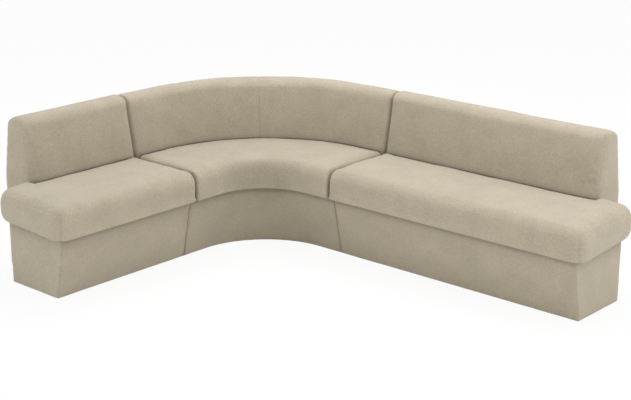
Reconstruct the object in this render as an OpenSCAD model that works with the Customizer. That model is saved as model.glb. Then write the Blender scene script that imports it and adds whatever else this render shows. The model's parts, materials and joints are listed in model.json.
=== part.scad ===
// L-shaped upholstered banquette bench: a short run, a quarter-round corner and a long run.
// Each unit is a padded plinth, a deep seat cushion and a leaning padded backrest on a plywood frame.
// Plan radii are measured from the centre of the bend, and the runs continue them as straight depths.

/* [Overall] */
// Height of the top of the backrest above the floor
total_h = 785; // [740:5:860]
// Height of the crowned seat above the floor
seat_h = 476; // [445:1:500]
// Length of the base of the short run, from its joint to its free end
short_len = 815; // [600:5:1400]
// Length of the base of the long run, from its joint to its free end
long_len = 1420; // [900:5:1900]

/* [Corner bend] */
// Radius of the front edge of the seat in the bend
bend_r = 297; // [240:1:400]
// Straight stretch of the corner unit between the bend and each joint
stub_len = 161; // [130:1:240]
// Gap between two units at a joint
joint_gap = 1; // [0.6:0.2:3]

/* [Seat cushion] */
// Depth of the seat from its front edge to the backrest
seat_depth = 459; // [430:1:500]
// Thickness of the cushion at the top of its crown
cushion_t = 157; // [140:1:180]
// Rise of the crown over the edge of the cushion
crown = 8; // [4:1:20]
// Radius of the upper front edge of the cushion
nose_r = 58; // [40:1:66]
// Rise of the cushion beside the free end of the backrest, where nothing presses on it
lobe_rise = 7; // [0:1:24]
// Radius of the lower front edge of the cushion
chin_r = 16; // [10:1:40]
// How far the cushion stands out in front of the top of the base
front_overhang = 53; // [30:1:70]
// How far the cushion stands out past the free end of the base
end_overhang = 60; // [30:1:75]
// How far the cushion stands out behind the base, beside the end of the backrest
rear_overhang = 24; // [10:1:40]
// Corner radius of the cushion in plan, at the free front corner
front_corner_r = 64; // [50:1:90]
// Corner radius of the cushion in plan, at the free rear corner
rear_corner_r = 58; // [40:1:70]
// Corner radius of the cushion in plan, beside a joint
joint_corner_r = 16; // [8:1:24]

/* [Base] */
// How far the front of the base slopes in, from its top down to the floor
base_slope = 65; // [30:1:90]
// Depth of the base along its top edge
base_depth = 417; // [405:1:470]
// Thickness of the padded cover of the base
skin_t = 5; // [3:0.5:8]
// Height of the glides under the frame
glide_h = 3; // [2:0.5:8]
// Radius of a glide
glide_r = 12; // [8:1:14]
// Thickness of the cloth under the base
dust_cloth_t = 1; // [0.6:0.1:1.5]

/* [Backrest] */
// Thickness of the backrest at the height of the seat
back_t = 215; // [190:1:240]
// How far the front of the backrest leans back up to its crest
face_lean = 46; // [20:1:60]
// How far the rear of the backrest leans forward up to its crest
rear_lean = 40; // [10:1:50]
// Distance from the free end of the base to the end of the backrest
back_inset = 142; // [125:1:220]
// Front radius of the crest
crest_front_r = 46; // [42:1:52]
// Rear radius of the crest
crest_rear_r = 50; // [44:1:56]
// Thickness of the padding on the front
pad_t = 45; // [36:1:56]
// Thickness of the padding over the crest
crest_t = 34; // [30:1:38]
// Thickness of the padding where it wraps onto the rear
lip_t = 20; // [14:1:24]
// Height that the rear wrap reaches down from the top of the backrest
lip_h = 90; // [70:1:120]
// Thickness of the padding at the free end
end_pad_t = 24; // [20:1:30]
// Depth of the sewn seam in the middle of the bend
seam_depth = 4; // [2:0.5:8]

/* [Frame] */
// Thickness of the plywood boards and ribs
board_t = 18; // [15:1:21]
// Thickness of the plywood seat deck
deck_t = 12; // [9:1:18]
// Thickness of the bent panel behind the front padding
web_t = 6; // [4:1:8]
// Height of the battens along the top and the bottom of the back frame
rail_h = 45; // [35:1:55]
// Clearance between pieces that seat on each other
fit_gap = 0.3; // [0.2:0.05:0.5]

/* [Fasteners] */
// Radius of a bolt shank
bolt_r = 4; // [3:0.5:5]
// Clearance round a bolt in its hole
bolt_gap = 0.3; // [0.2:0.05:0.5]
// Radius of a bolt head
bolt_head_r = 8; // [7:0.5:10]
// Thickness of a bolt head
bolt_head_h = 4; // [3:0.5:6]
// Radius of a nut
nut_r = 8; // [7:0.5:10]
// Thickness of a nut
nut_h = 7; // [5:0.5:8]
// Height of the joint bolts in the base above the floor
base_bolt_z = 130; // [80:1:200]
// Height of the joint bolt in the backrest above the seat
back_bolt_rise = 80; // [50:1:120]
// Height of the bolts between the base and the back frame
frame_bolt_z = 190; // [120:1:230]

/* [Hidden] */
$fn = 64;
UNITS = ["short", "corner", "long"];

// Colours
cloth = [0.72, 0.67, 0.57];
plain_cloth = [0.16, 0.16, 0.17];
plywood = [0.80, 0.66, 0.46];
batten = [0.86, 0.75, 0.56];
zinc = [0.70, 0.71, 0.73];
nylon = [0.10, 0.10, 0.11];

// Plan radii of the main faces
base_top_r = bend_r + front_overhang;
base_foot_r = base_top_r + base_slope;
base_rear_r = base_top_r + base_depth;
back_r = bend_r + seat_depth;
rear_r = back_r + back_t;
lobe_r = base_rear_r + rear_overhang;
half_gap = joint_gap / 2;

// Heights
cushion_z = seat_h - cushion_t;
base_top_z = cushion_z - fit_gap;
deck_z = base_top_z - deck_t;
edge_z = seat_h - crown;
pad_z = cushion_z + fit_gap;
lip_z = total_h - lip_h;
crest_front_z = total_h - crest_front_r;
crest_rear_z = total_h - crest_rear_r;
overrun = deck_t;

// Crest of the backrest, and the inner faces that its frame follows
crest_front_c = back_r + face_lean + crest_front_r;
crest_rear_c = rear_r - rear_lean - crest_rear_r;
frame_rear_r = rear_r - skin_t - fit_gap;
frame_front_r = base_rear_r + fit_gap;
rail_top_z = total_h - crest_t - fit_gap;
rail_front_r = crest_front_c + web_t;
end_step = joint_gap;
end_pad_in = end_pad_t + end_step + fit_gap;

// Shape of the cushion: shares of a side's inset, and limits to the insets at the ends
rear_inset_share = 0.06;
lobe_inset_share = 0.75;
joint_inset_share = 0.3;
crown_shares = [0.15, 0.4, 0.7, 1];
crown_inset = seat_depth / 2 - chin_r;
end_inset_max = back_inset - chin_r / 2;
joint_inset_max = stub_len / 3;
least_corner_r = nose_r / 20;
lobe_ramp = rear_overhang;
lobe_reach = back_inset;
lobe_spread = seat_depth / 2;
corner_steps = 4;
rim_steps = 4;
run_steps = 7;
bend_steps = 20;
face_shares = [0.8, 0.55, 0.28, 0];
pad_rear_share = 0.2;
joint_round_share = 0.8;
joint_round = joint_corner_r * joint_round_share;

// Where the origin lies from the centre of the bend: the middle of the overall box
origin_x = (stub_len + long_len + end_overhang - rear_r) / 2;
origin_y = (rear_r - stub_len - short_len - end_overhang) / 2;

// Lengths along each unit. The bend's length is taken at the backrest.
bend_len = back_r * PI / 2;
corner_len = 2 * stub_len + bend_len;
function run_len(unit) = unit == "short" ? short_len : unit == "long" ? long_len : corner_len;
function back_len(unit) = unit == "corner" ? corner_len : run_len(unit) - back_inset;

// A point at a distance along a unit, a plan radius and a height
function bend_angle(u) = 180 - 90 * (u - stub_len) / bend_len;
function corner_spot(u, r, z) =
    u < stub_len ? [-r, u - stub_len, z]
    : u > stub_len + bend_len ? [u - stub_len - bend_len, r, z]
    : [r * cos(bend_angle(u)), r * sin(bend_angle(u)), z];
function spot(unit, u, r, z) =
    unit == "short" ? [-r, -stub_len - u, z]
    : unit == "long" ? [stub_len + u, r, z]
    : corner_spot(u, r, z);

module in_frame() {
    translate([-origin_x, -origin_y, 0]) children();
}

// Straight stretches between two distances from a joint, and the bend, of a section in radius and height
module along_short(from, to) {
    translate([0, -stub_len - from, 0]) rotate([90, 0, 0])
        linear_extrude(to - from) mirror([1, 0, 0]) children();
}

module along_long(from, to) {
    translate([stub_len + from, 0, 0]) rotate([90, 0, 90])
        linear_extrude(to - from) children();
}

module round_bend() {
    rotate([0, 0, 90]) rotate_extrude(angle = 90) children();
}

// A section carried along a whole unit, less a margin at each joint and at the free end
module along(unit, joint_margin, end_margin) {
    if (unit == "short") along_short(joint_margin, short_len - end_margin) children();
    if (unit == "long") along_long(joint_margin, long_len - end_margin) children();
    if (unit == "corner") {
        union() {
            round_bend() children();
            along_short(-stub_len, -joint_margin) children();
            along_long(-stub_len, -joint_margin) children();
        }
    }
}

// A flat plate across a unit at a distance from its joint
module across(unit, from, thickness) {
    if (unit == "short") along_short(from, from + thickness) children();
    if (unit == "long") along_long(from, from + thickness) children();
    if (unit == "corner_left") along_short(-from - thickness, -from) children();
    if (unit == "corner_right") along_long(-from - thickness, -from) children();
    if (unit == "corner_mid") {
        rotate([90, 0, 135]) translate([0, 0, -thickness / 2]) linear_extrude(thickness) children();
    }
}

// Children turned so that their +Z points from the front of the unit to its rear
module facing_rear(unit, u, r, z) {
    if (unit == "short") translate(spot(unit, u, r, z)) rotate([0, -90, 0]) children();
    if (unit == "long") translate(spot(unit, u, r, z)) rotate([-90, 0, 0]) children();
    if (unit == "corner") {
        rotate([0, 0, bend_angle(u)]) translate([r, 0, z]) rotate([0, 90, 0]) children();
    }
}

// Base sections
function slope_r(z) = base_foot_r - base_slope * z / cushion_z;
function carcass_rear(unit) = unit == "corner" ? base_rear_r : base_rear_r - skin_t - fit_gap;
function carcass_front(z) = slope_r(z) + skin_t + fit_gap;

module slope_band(inset, thickness, low, high) {
    polygon([
        [slope_r(low) + inset, low],
        [slope_r(low) + inset + thickness, low],
        [slope_r(high) + inset + thickness, high],
        [slope_r(high) + inset, high]
    ]);
}

module base_section(inset, low, high, rear) {
    polygon([[slope_r(low) + inset, low], [rear, low], [rear, high], [slope_r(high) + inset, high]]);
}

module upright_section(from_r, to_r, low, high) {
    polygon([[from_r, low], [to_r, low], [to_r, high], [from_r, high]]);
}

// Base pieces
module front_board(unit) {
    in_frame() along(unit, half_gap + board_t, skin_t + fit_gap + board_t)
        slope_band(skin_t + fit_gap, board_t, glide_h, deck_z);
}

module rear_board(unit) {
    rear = carcass_rear(unit);
    in_frame() difference() {
        along(unit, half_gap + board_t, skin_t + fit_gap + board_t)
            upright_section(rear - board_t, rear, glide_h, deck_z);
        frame_bolt_holes(unit);
    }
}

module gable_section(unit, joint) {
    difference() {
        base_section(skin_t + fit_gap, glide_h, deck_z, carcass_rear(unit));
        if (joint) base_bolt_circles(bolt_r + bolt_gap);
    }
}

module mid_gable_section(unit) {
    polygon([
        [carcass_front(glide_h) + board_t + fit_gap, glide_h],
        [carcass_rear(unit) - board_t - fit_gap, glide_h],
        [carcass_rear(unit) - board_t - fit_gap, deck_z],
        [carcass_front(deck_z) + board_t + fit_gap, deck_z]
    ]);
}

module seat_deck(unit) {
    in_frame() along(unit, half_gap, skin_t + fit_gap)
        base_section(skin_t + fit_gap, deck_z, base_top_z, carcass_rear(unit));
}

module base_cover(unit) {
    in_frame() {
        if (unit == "corner") {
            along(unit, half_gap, 0) slope_band(0, skin_t, glide_h, base_top_z);
        } else {
            difference() {
                along(unit, half_gap, 0) base_section(0, glide_h, base_top_z, base_rear_r);
                along(unit, -overrun, skin_t)
                    base_section(skin_t, 0, base_top_z + overrun, base_rear_r - skin_t);
                frame_bolt_holes(unit);
            }
        }
    }
}

// Cloth under the base, and another under the backrest
module dust_cloth(unit) {
    low = glide_h - dust_cloth_t;
    in_frame() difference() {
        union() {
            along(unit, half_gap, skin_t + fit_gap)
                upright_section(carcass_front(0), carcass_rear(unit), low, glide_h);
            along(unit, half_gap, back_inset + skin_t)
                upright_section(frame_front_r, frame_rear_r, low, glide_h);
        }
        translate([0, 0, -overrun]) glide_discs(unit, glide_r + fit_gap, glide_h + 2 * overrun);
    }
}

// Glides under the gables and under the foot rail of the back frame
front_glide_r = base_foot_r + skin_t + 2 * board_t;
rear_glide_r = frame_rear_r - rail_h / 2;
glide_end = half_gap + glide_r + skin_t;

function glide_stops(unit) =
    unit == "corner" ? [glide_end, corner_len / 2, corner_len - glide_end]
    : unit == "long" ? [glide_end, long_len / 2, long_len - skin_t - glide_end]
    : [glide_end, short_len - skin_t - glide_end];

module glide_discs(unit, radius, height) {
    for (stop = glide_stops(unit)) {
        translate(spot(unit, stop, front_glide_r, 0)) cylinder(r = radius, h = height);
        translate(spot(unit, min(stop, back_len(unit) - end_pad_in - board_t / 2), rear_glide_r, 0))
            cylinder(r = radius, h = height);
    }
}

// Backrest faces: plan radius of the front and the rear at a height
function face_r(z) =
    back_r + face_lean * max(0, z - seat_h) / (crest_front_z - seat_h);
function rear_face_r(z) =
    rear_r - rear_lean * max(0, z - seat_h) / (crest_rear_z - seat_h);
function web_r(z) = face_r(z) + pad_t + fit_gap;

// Back frame sections
module web_section() {
    polygon([
        [web_r(pad_z), pad_z], [web_r(seat_h), seat_h], [web_r(crest_front_z), crest_front_z],
        [web_r(crest_front_z) + web_t, crest_front_z], [web_r(seat_h) + web_t, seat_h],
        [web_r(pad_z) + web_t, pad_z]
    ]);
}

module top_rail_section(clearance) {
    upright_section(
        rail_front_r - clearance, crest_rear_c + clearance,
        rail_top_z - rail_h - clearance, rail_top_z + clearance);
}

module foot_rail_section(clearance) {
    upright_section(
        frame_rear_r - rail_h - clearance, frame_rear_r + clearance,
        glide_h - clearance, glide_h + rail_h + clearance);
}

module rib_section(joint) {
    difference() {
        polygon([
            [frame_front_r + board_t + fit_gap, glide_h],
            [frame_rear_r, glide_h],
            [frame_rear_r, seat_h],
            [rear_face_r(lip_z) - lip_t - fit_gap, lip_z],
            [crest_rear_c + fit_gap, crest_rear_z],
            [web_r(crest_rear_z) + web_t + fit_gap, crest_rear_z],
            [web_r(seat_h) + web_t + fit_gap, seat_h],
            [web_r(pad_z) + web_t + fit_gap, pad_z],
            [frame_front_r + board_t + fit_gap, pad_z]
        ]);
        top_rail_section(fit_gap);
        foot_rail_section(fit_gap);
        if (joint) back_bolt_circle(bolt_r + bolt_gap);
    }
}

// Back frame pieces
module back_board(unit) {
    in_frame() difference() {
        along(unit, half_gap, back_inset + end_pad_in)
            upright_section(frame_front_r, frame_front_r + board_t, glide_h, base_top_z);
        frame_bolt_holes(unit);
    }
}

module back_web(unit) {
    in_frame() along(unit, half_gap, back_inset + end_pad_in) web_section();
}

module back_top_rail(unit) {
    in_frame() along(unit, half_gap, back_inset + end_pad_in) top_rail_section(0);
}

module back_foot_rail(unit) {
    in_frame() along(unit, half_gap, back_inset + end_pad_in) foot_rail_section(0);
}

module outside_back(unit) {
    in_frame() union() {
        along(unit, half_gap, back_inset + end_pad_in) polygon([
            [rear_r, glide_h], [rear_r, seat_h],
            [rear_face_r(lip_z - fit_gap), lip_z - fit_gap],
            [rear_face_r(lip_z - fit_gap) - skin_t, lip_z - fit_gap],
            [rear_r - skin_t, seat_h], [rear_r - skin_t, glide_h]
        ]);
        if (unit != "corner") {
            across(unit, back_len(unit) - end_pad_in, end_pad_in)
                upright_section(frame_front_r, rear_r, glide_h, pad_z - fit_gap);
        }
    }
}

// Bolts at the joints and between the base and the back frame
base_bolt_stops = [base_foot_r + 4 * board_t, base_rear_r - 4 * board_t];
back_bolt_z = seat_h + back_bolt_rise;
back_bolt_r = (web_r(back_bolt_z) + web_t + rear_face_r(back_bolt_z) - skin_t) / 2;
joint_grip = 2 * board_t + joint_gap;

module base_bolt_circles(radius) {
    for (stop = base_bolt_stops) translate([stop, base_bolt_z]) circle(r = radius);
}

module back_bolt_circle(radius) {
    translate([back_bolt_r, back_bolt_z]) circle(r = radius);
}

module all_joint_circles(radius) {
    base_bolt_circles(radius);
    back_bolt_circle(radius);
}

module joint_bolts_at(side) {
    across(side, half_gap + board_t + fit_gap, bolt_head_h) all_joint_circles(bolt_head_r);
    across(side, -half_gap - board_t - fit_gap - nut_h, joint_grip + 2 * fit_gap + nut_h)
        all_joint_circles(bolt_r);
}

module joint_nuts_at(side) {
    across(side, -half_gap - board_t - fit_gap - nut_h, nut_h) difference() {
        all_joint_circles(nut_r);
        all_joint_circles(bolt_r + bolt_gap);
    }
}

function frame_bolt_stops(unit) =
    unit == "corner" ? [corner_len / 3, corner_len * 2 / 3]
    : [back_len(unit) / 4, back_len(unit) * 3 / 4];
function frame_bolt_start(unit) = carcass_rear(unit) - board_t - fit_gap;
frame_bolt_end = frame_front_r + board_t + fit_gap;

module frame_bolt_holes(unit) {
    for (stop = frame_bolt_stops(unit)) {
        facing_rear(unit, stop, frame_bolt_start(unit) - overrun, frame_bolt_z)
            cylinder(
                r = bolt_r + bolt_gap, h = frame_bolt_end - frame_bolt_start(unit) + 2 * overrun);
    }
}

module frame_bolts_in(unit) {
    start = frame_bolt_start(unit);
    for (stop = frame_bolt_stops(unit)) {
        facing_rear(unit, stop, start, frame_bolt_z) cylinder(r = bolt_r, h = frame_bolt_end - start + nut_h);
        facing_rear(unit, stop, start - bolt_head_h, frame_bolt_z) cylinder(r = bolt_head_r, h = bolt_head_h);
    }
}

module frame_nuts_in(unit) {
    for (stop = frame_bolt_stops(unit)) {
        facing_rear(unit, stop, frame_bolt_end, frame_bolt_z) difference() {
            cylinder(r = nut_r, h = nut_h);
            translate([0, 0, -overrun]) cylinder(r = bolt_r + bolt_gap, h = nut_h + 2 * overrun);
        }
    }
}

// A closed skin over rings of points. The first half of each ring lies opposite its second half.
module loft(rings, mirrored) {
    count = len(rings[0]);
    half = count / 2;
    top = (len(rings) - 1) * count;
    sides = [
        for (k = [0:len(rings) - 2], i = [0:count - 1])
        let (a = k * count + i, b = k * count + (i + 1) % count)
        each [[a, a + count, b + count], [a, b + count, b]]
    ];
    ends = [
        for (i = [0:half - 2])
        let (a = i, b = i + 1, c = count - 2 - i, d = count - 1 - i)
        each [[a, b, c], [a, c, d], [top + a, top + c, top + b], [top + a, top + d, top + c]]
    ];
    faces = concat(sides, ends);
    polyhedron(
        [for (ring = rings) each ring],
        mirrored ? [for (face = faces) [face[0], face[2], face[1]]] : faces);
}

function reversed(list) = [for (i = [len(list) - 1:-1:0]) list[i]];

function oval(centre, radii, from, to, steps) =
    [for (i = [0:steps]) let (a = from + (to - from) * i / steps)
        [centre[0] + radii[0] * cos(a), centre[1] + radii[1] * sin(a)]];
function arc(centre, radius, from, to, steps) = oval(centre, [radius, radius], from, to, steps);

// Distances along a unit at which its soft forms have points between their ends
function bend_stops() = [for (i = [0:bend_steps]) stub_len + bend_len * i / bend_steps];
function cushion_stops(unit) =
    unit == "corner" ? concat([stub_len / 2], bend_stops(), [corner_len - stub_len / 2])
    : concat(
        [for (i = [1:run_steps]) back_len(unit) * i / (run_steps + 1)],
        [back_len(unit) + lobe_ramp / 4, back_len(unit) + lobe_ramp]);

// Cushion: the rear stands upright against the backrest, and steps out beside its free end
function beside_back(unit, u) = unit != "corner" && u > back_len(unit) + lobe_ramp / 2;
function cushion_rear(unit, u, inset) =
    beside_back(unit, u) ? lobe_r - inset * lobe_inset_share
    : back_r - 2 * fit_gap - inset * rear_inset_share;

// Inset from the rim and height of each ring, from the underside to the top of the crown
cushion_rings = concat(
    [for (i = [0:rim_steps]) let (a = 90 * i / rim_steps)
        [chin_r * (1 - sin(a)), cushion_z + chin_r * (1 - cos(a))]],
    [for (i = [0:rim_steps]) let (a = 90 * i / rim_steps)
        [nose_r * (1 - cos(a)), edge_z - nose_r * (1 - sin(a))]],
    [for (share = crown_shares)
        [nose_r + (crown_inset - nose_r) * share, edge_z + crown * sin(90 * share)]]);

// The top rises beside the free end of the backrest, and the underside stays level
function eased(from, to, v) = let (t = min(max((v - from) / (to - from), 0), 1)) t * t * (3 - 2 * t);
function lobe_lift(unit, u, r, z) =
    unit == "corner" ? 0
    : lobe_rise * eased(cushion_z, edge_z, z)
        * eased(back_len(unit) - lobe_reach, back_len(unit), u)
        * eased(back_r - lobe_spread, back_r, r);

function cushion_ring(unit, inset, z) =
    let (
        free = unit != "corner",
        joint_inset = min(inset * joint_inset_share, joint_inset_max),
        end_inset = free ? min(inset, end_inset_max) : joint_inset,
        u0 = half_gap + joint_inset,
        u1 = run_len(unit) + (free ? end_overhang : -half_gap) - end_inset,
        joint_r = max(joint_corner_r - joint_inset, least_corner_r),
        front_r = free ? max(front_corner_r - inset, least_corner_r) : joint_r,
        lobe_corner_r = free ? max(rear_corner_r - inset, least_corner_r) : joint_r,
        front = bend_r + inset,
        rear_at_joint = cushion_rear(unit, u0, inset),
        rear_at_end = cushion_rear(unit, u1, inset),
        stops = cushion_stops(unit),
        near = concat(
            arc([u0 + joint_r, front + joint_r], joint_r, 180, 270, corner_steps),
            [for (u = stops) [u, front]],
            arc([u1 - front_r, front + front_r], front_r, 270, 360, corner_steps)),
        far = concat(
            arc([u0 + joint_r, rear_at_joint - joint_r], joint_r, 180, 90, corner_steps),
            [for (u = stops) [u, cushion_rear(unit, u, inset)]],
            arc([u1 - lobe_corner_r, rear_at_end - lobe_corner_r], lobe_corner_r, 90, 0, corner_steps))
    )
    [for (p = concat(near, reversed(far))) spot(unit, p[0], p[1], z + lobe_lift(unit, p[0], p[1], z))];

module seat_cushion(unit) {
    in_frame() loft(
        [for (ring = cushion_rings) cushion_ring(unit, ring[0], ring[1])], unit == "short");
}

// Backrest padding: the outer line runs from the rear over the crest and down the front
function rear_heights(whole) =
    whole ? [pad_z + skin_t, seat_h, lip_z]
    : [for (i = [0:2]) lip_z + (crest_rear_z - lip_z) * i / 3];

function pad_outer(inset, whole) =
    let (
        rear_inset = inset * pad_rear_share,
        rear_radii = [crest_rear_r - rear_inset, crest_rear_r - inset]
    )
    concat(
        [for (z = rear_heights(whole)) [rear_face_r(z) - rear_inset, z]],
        oval([crest_rear_c, crest_rear_z], rear_radii, 0, 90, rim_steps),
        arc([crest_front_c, crest_front_z], crest_front_r - inset, 90, 180, rim_steps),
        [for (share = face_shares)
            let (z = seat_h + (crest_front_z - seat_h) * share) [face_r(z) + inset, z]],
        [[back_r + inset, pad_z]]);

// The inner line follows the frame, and lies along the underside where the padding closes the end
function pad_hollow() = concat(
    [for (z = rear_heights(false)) [rear_face_r(z) - lip_t, z]],
    arc([crest_rear_c, crest_rear_z], crest_rear_r - crest_t, 0, 90, rim_steps),
    arc([crest_front_c, crest_front_z], crest_front_r - crest_t, 90, 180, rim_steps),
    [for (share = face_shares)
        let (z = seat_h + (crest_front_z - seat_h) * share) [face_r(z) + pad_t, z]],
    [[back_r + pad_t, pad_z]]);

function pad_underside() =
    let (count = len(pad_hollow()))
    [for (i = [1:count]) [rear_r - pad_t - (back_t - 2 * pad_t) * i / count, pad_z]];

function pad_ring(unit, u, inset, whole) =
    [for (p = concat(pad_outer(inset, whole), reversed(whole ? pad_underside() : pad_hollow())))
        spot(unit, u, p[0], p[1])];

// Distance along the unit, inset of the outer line and whether the padding is whole there
function pad_stops(unit) =
    let (
        last = back_len(unit),
        joint_end = [
            [half_gap, joint_round, false], [half_gap + joint_round / 3, joint_round / 3, false],
            [half_gap + joint_round, 0, false]
        ]
    )
    unit == "corner" ? concat(
        joint_end,
        [for (u = bend_stops()) [u, u == stub_len + bend_len / 2 ? seam_depth : 0, false]],
        [for (stop = reversed(joint_end)) [last - stop[0], stop[1], false]])
    : concat(
        joint_end,
        [for (i = [1:run_steps]) [last * i / (run_steps + 1), 0, false]],
        [
            [last - end_pad_t - end_step, 0, false], [last - end_pad_t, 0, true],
            [last - end_pad_t / 3, end_pad_t / 3, true], [last, end_pad_t, true]
        ]);

module back_pad(unit) {
    in_frame() loft(
        [for (stop = pad_stops(unit)) pad_ring(unit, stop[0], stop[1], stop[2])], unit == "short");
}

// Short run
short_end = short_len - skin_t - fit_gap - board_t;
short_back_end = back_len("short") - end_pad_in - board_t;
module short_front_board() { color(plywood) front_board("short"); }
module short_end_gable() {
    color(plywood) in_frame() across("short", short_end, board_t) gable_section("short", false);
}
module short_joint_gable() {
    color(plywood) in_frame() across("short", half_gap, board_t) gable_section("short", true);
}
module short_rear_board() { color(plywood) rear_board("short"); }
module short_seat_deck() { color(plywood) seat_deck("short"); }
module short_base_cover() { color(cloth) base_cover("short"); }
module short_dust_cloth() { color(plain_cloth) dust_cloth("short"); }
module short_seat_cushion() { color(cloth) seat_cushion("short"); }
module short_back_board() { color(plywood) back_board("short"); }
module short_back_end_rib() {
    color(plywood) in_frame() across("short", short_back_end, board_t) rib_section(false);
}
module short_back_joint_rib() {
    color(plywood) in_frame() across("short", half_gap, board_t) rib_section(true);
}
module short_back_top_rail() { color(batten) back_top_rail("short"); }
module short_back_foot_rail() { color(batten) back_foot_rail("short"); }
module short_back_web() { color(plywood) back_web("short"); }
module short_back_pad() { color(cloth) back_pad("short"); }
module short_outside_back() { color(cloth) outside_back("short"); }

// Corner
module corner_front_board() { color(plywood) front_board("corner"); }
module corner_left_gable() {
    color(plywood) in_frame() across("corner_left", half_gap, board_t) gable_section("corner", true);
}
module corner_right_gable() {
    color(plywood) in_frame() across("corner_right", half_gap, board_t) gable_section("corner", true);
}
module corner_mid_gable() {
    color(plywood) in_frame() across("corner_mid", 0, board_t) mid_gable_section("corner");
}
module corner_rear_board() { color(plywood) rear_board("corner"); }
module corner_seat_deck() { color(plywood) seat_deck("corner"); }
module corner_base_cover() { color(cloth) base_cover("corner"); }
module corner_dust_cloth() { color(plain_cloth) dust_cloth("corner"); }
module corner_seat_cushion() { color(cloth) seat_cushion("corner"); }
module corner_back_board() { color(plywood) back_board("corner"); }
module corner_back_left_rib() {
    color(plywood) in_frame() across("corner_left", half_gap, board_t) rib_section(true);
}
module corner_back_right_rib() {
    color(plywood) in_frame() across("corner_right", half_gap, board_t) rib_section(true);
}
module corner_back_mid_rib() {
    color(plywood) in_frame() across("corner_mid", 0, board_t) rib_section(false);
}
module corner_back_top_rail() { color(batten) back_top_rail("corner"); }
module corner_back_foot_rail() { color(batten) back_foot_rail("corner"); }
module corner_back_web() { color(plywood) back_web("corner"); }
module corner_back_pad() { color(cloth) back_pad("corner"); }
module corner_outside_back() { color(cloth) outside_back("corner"); }

// Long run
long_end = long_len - skin_t - fit_gap - board_t;
long_back_end = back_len("long") - end_pad_in - board_t;
module long_front_board() { color(plywood) front_board("long"); }
module long_end_gable() {
    color(plywood) in_frame() across("long", long_end, board_t) gable_section("long", false);
}
module long_joint_gable() {
    color(plywood) in_frame() across("long", half_gap, board_t) gable_section("long", true);
}
module long_mid_gable() {
    color(plywood) in_frame() across("long", (long_len - board_t) / 2, board_t) mid_gable_section("long");
}
module long_rear_board() { color(plywood) rear_board("long"); }
module long_seat_deck() { color(plywood) seat_deck("long"); }
module long_base_cover() { color(cloth) base_cover("long"); }
module long_dust_cloth() { color(plain_cloth) dust_cloth("long"); }
module long_seat_cushion() { color(cloth) seat_cushion("long"); }
module long_back_board() { color(plywood) back_board("long"); }
module long_back_end_rib() {
    color(plywood) in_frame() across("long", long_back_end, board_t) rib_section(false);
}
module long_back_joint_rib() {
    color(plywood) in_frame() across("long", half_gap, board_t) rib_section(true);
}
module long_back_mid_rib() {
    color(plywood) in_frame() across("long", (long_len - board_t) / 2, board_t) rib_section(false);
}
module long_back_top_rail() { color(batten) back_top_rail("long"); }
module long_back_foot_rail() { color(batten) back_foot_rail("long"); }
module long_back_web() { color(plywood) back_web("long"); }
module long_back_pad() { color(cloth) back_pad("long"); }
module long_outside_back() { color(cloth) outside_back("long"); }

// Glides and fasteners
module glides() {
    color(nylon) in_frame() for (unit = UNITS) glide_discs(unit, glide_r, glide_h);
}
module joint_bolts() {
    color(zinc) in_frame() {
        joint_bolts_at("short");
        joint_bolts_at("long");
    }
}
module joint_nuts() {
    color(zinc) in_frame() {
        joint_nuts_at("short");
        joint_nuts_at("long");
    }
}
module frame_bolts() {
    color(zinc) in_frame() for (unit = UNITS) frame_bolts_in(unit);
}
module frame_nuts() {
    color(zinc) in_frame() for (unit = UNITS) frame_nuts_in(unit);
}

short_front_board();
short_end_gable();
short_joint_gable();
short_rear_board();
short_seat_deck();
short_base_cover();
short_dust_cloth();
short_seat_cushion();
short_back_board();
short_back_end_rib();
short_back_joint_rib();
short_back_top_rail();
short_back_foot_rail();
short_back_web();
short_back_pad();
short_outside_back();
corner_front_board();
corner_left_gable();
corner_right_gable();
corner_mid_gable();
corner_rear_board();
corner_seat_deck();
corner_base_cover();
corner_dust_cloth();
corner_seat_cushion();
corner_back_board();
corner_back_left_rib();
corner_back_right_rib();
corner_back_mid_rib();
corner_back_top_rail();
corner_back_foot_rail();
corner_back_web();
corner_back_pad();
corner_outside_back();
long_front_board();
long_end_gable();
long_joint_gable();
long_mid_gable();
long_rear_board();
long_seat_deck();
long_base_cover();
long_dust_cloth();
long_seat_cushion();
long_back_board();
long_back_end_rib();
long_back_joint_rib();
long_back_mid_rib();
long_back_top_rail();
long_back_foot_rail();
long_back_web();
long_back_pad();
long_outside_back();
glides();
joint_bolts();
joint_nuts();
frame_bolts();
frame_nuts();
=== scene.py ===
"""Looks of an L-shaped upholstered banquette bench: a short run, a round corner and a long run.

Each unit has a padded plinth, a deep seat cushion and a leaning backrest in one woven cloth.
A place on a unit is a distance along it from its joint, a plan radius from the centre of the
bend, and a height. On the straight runs the plan radius is simply the depth.
"""

import json
import math

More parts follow.
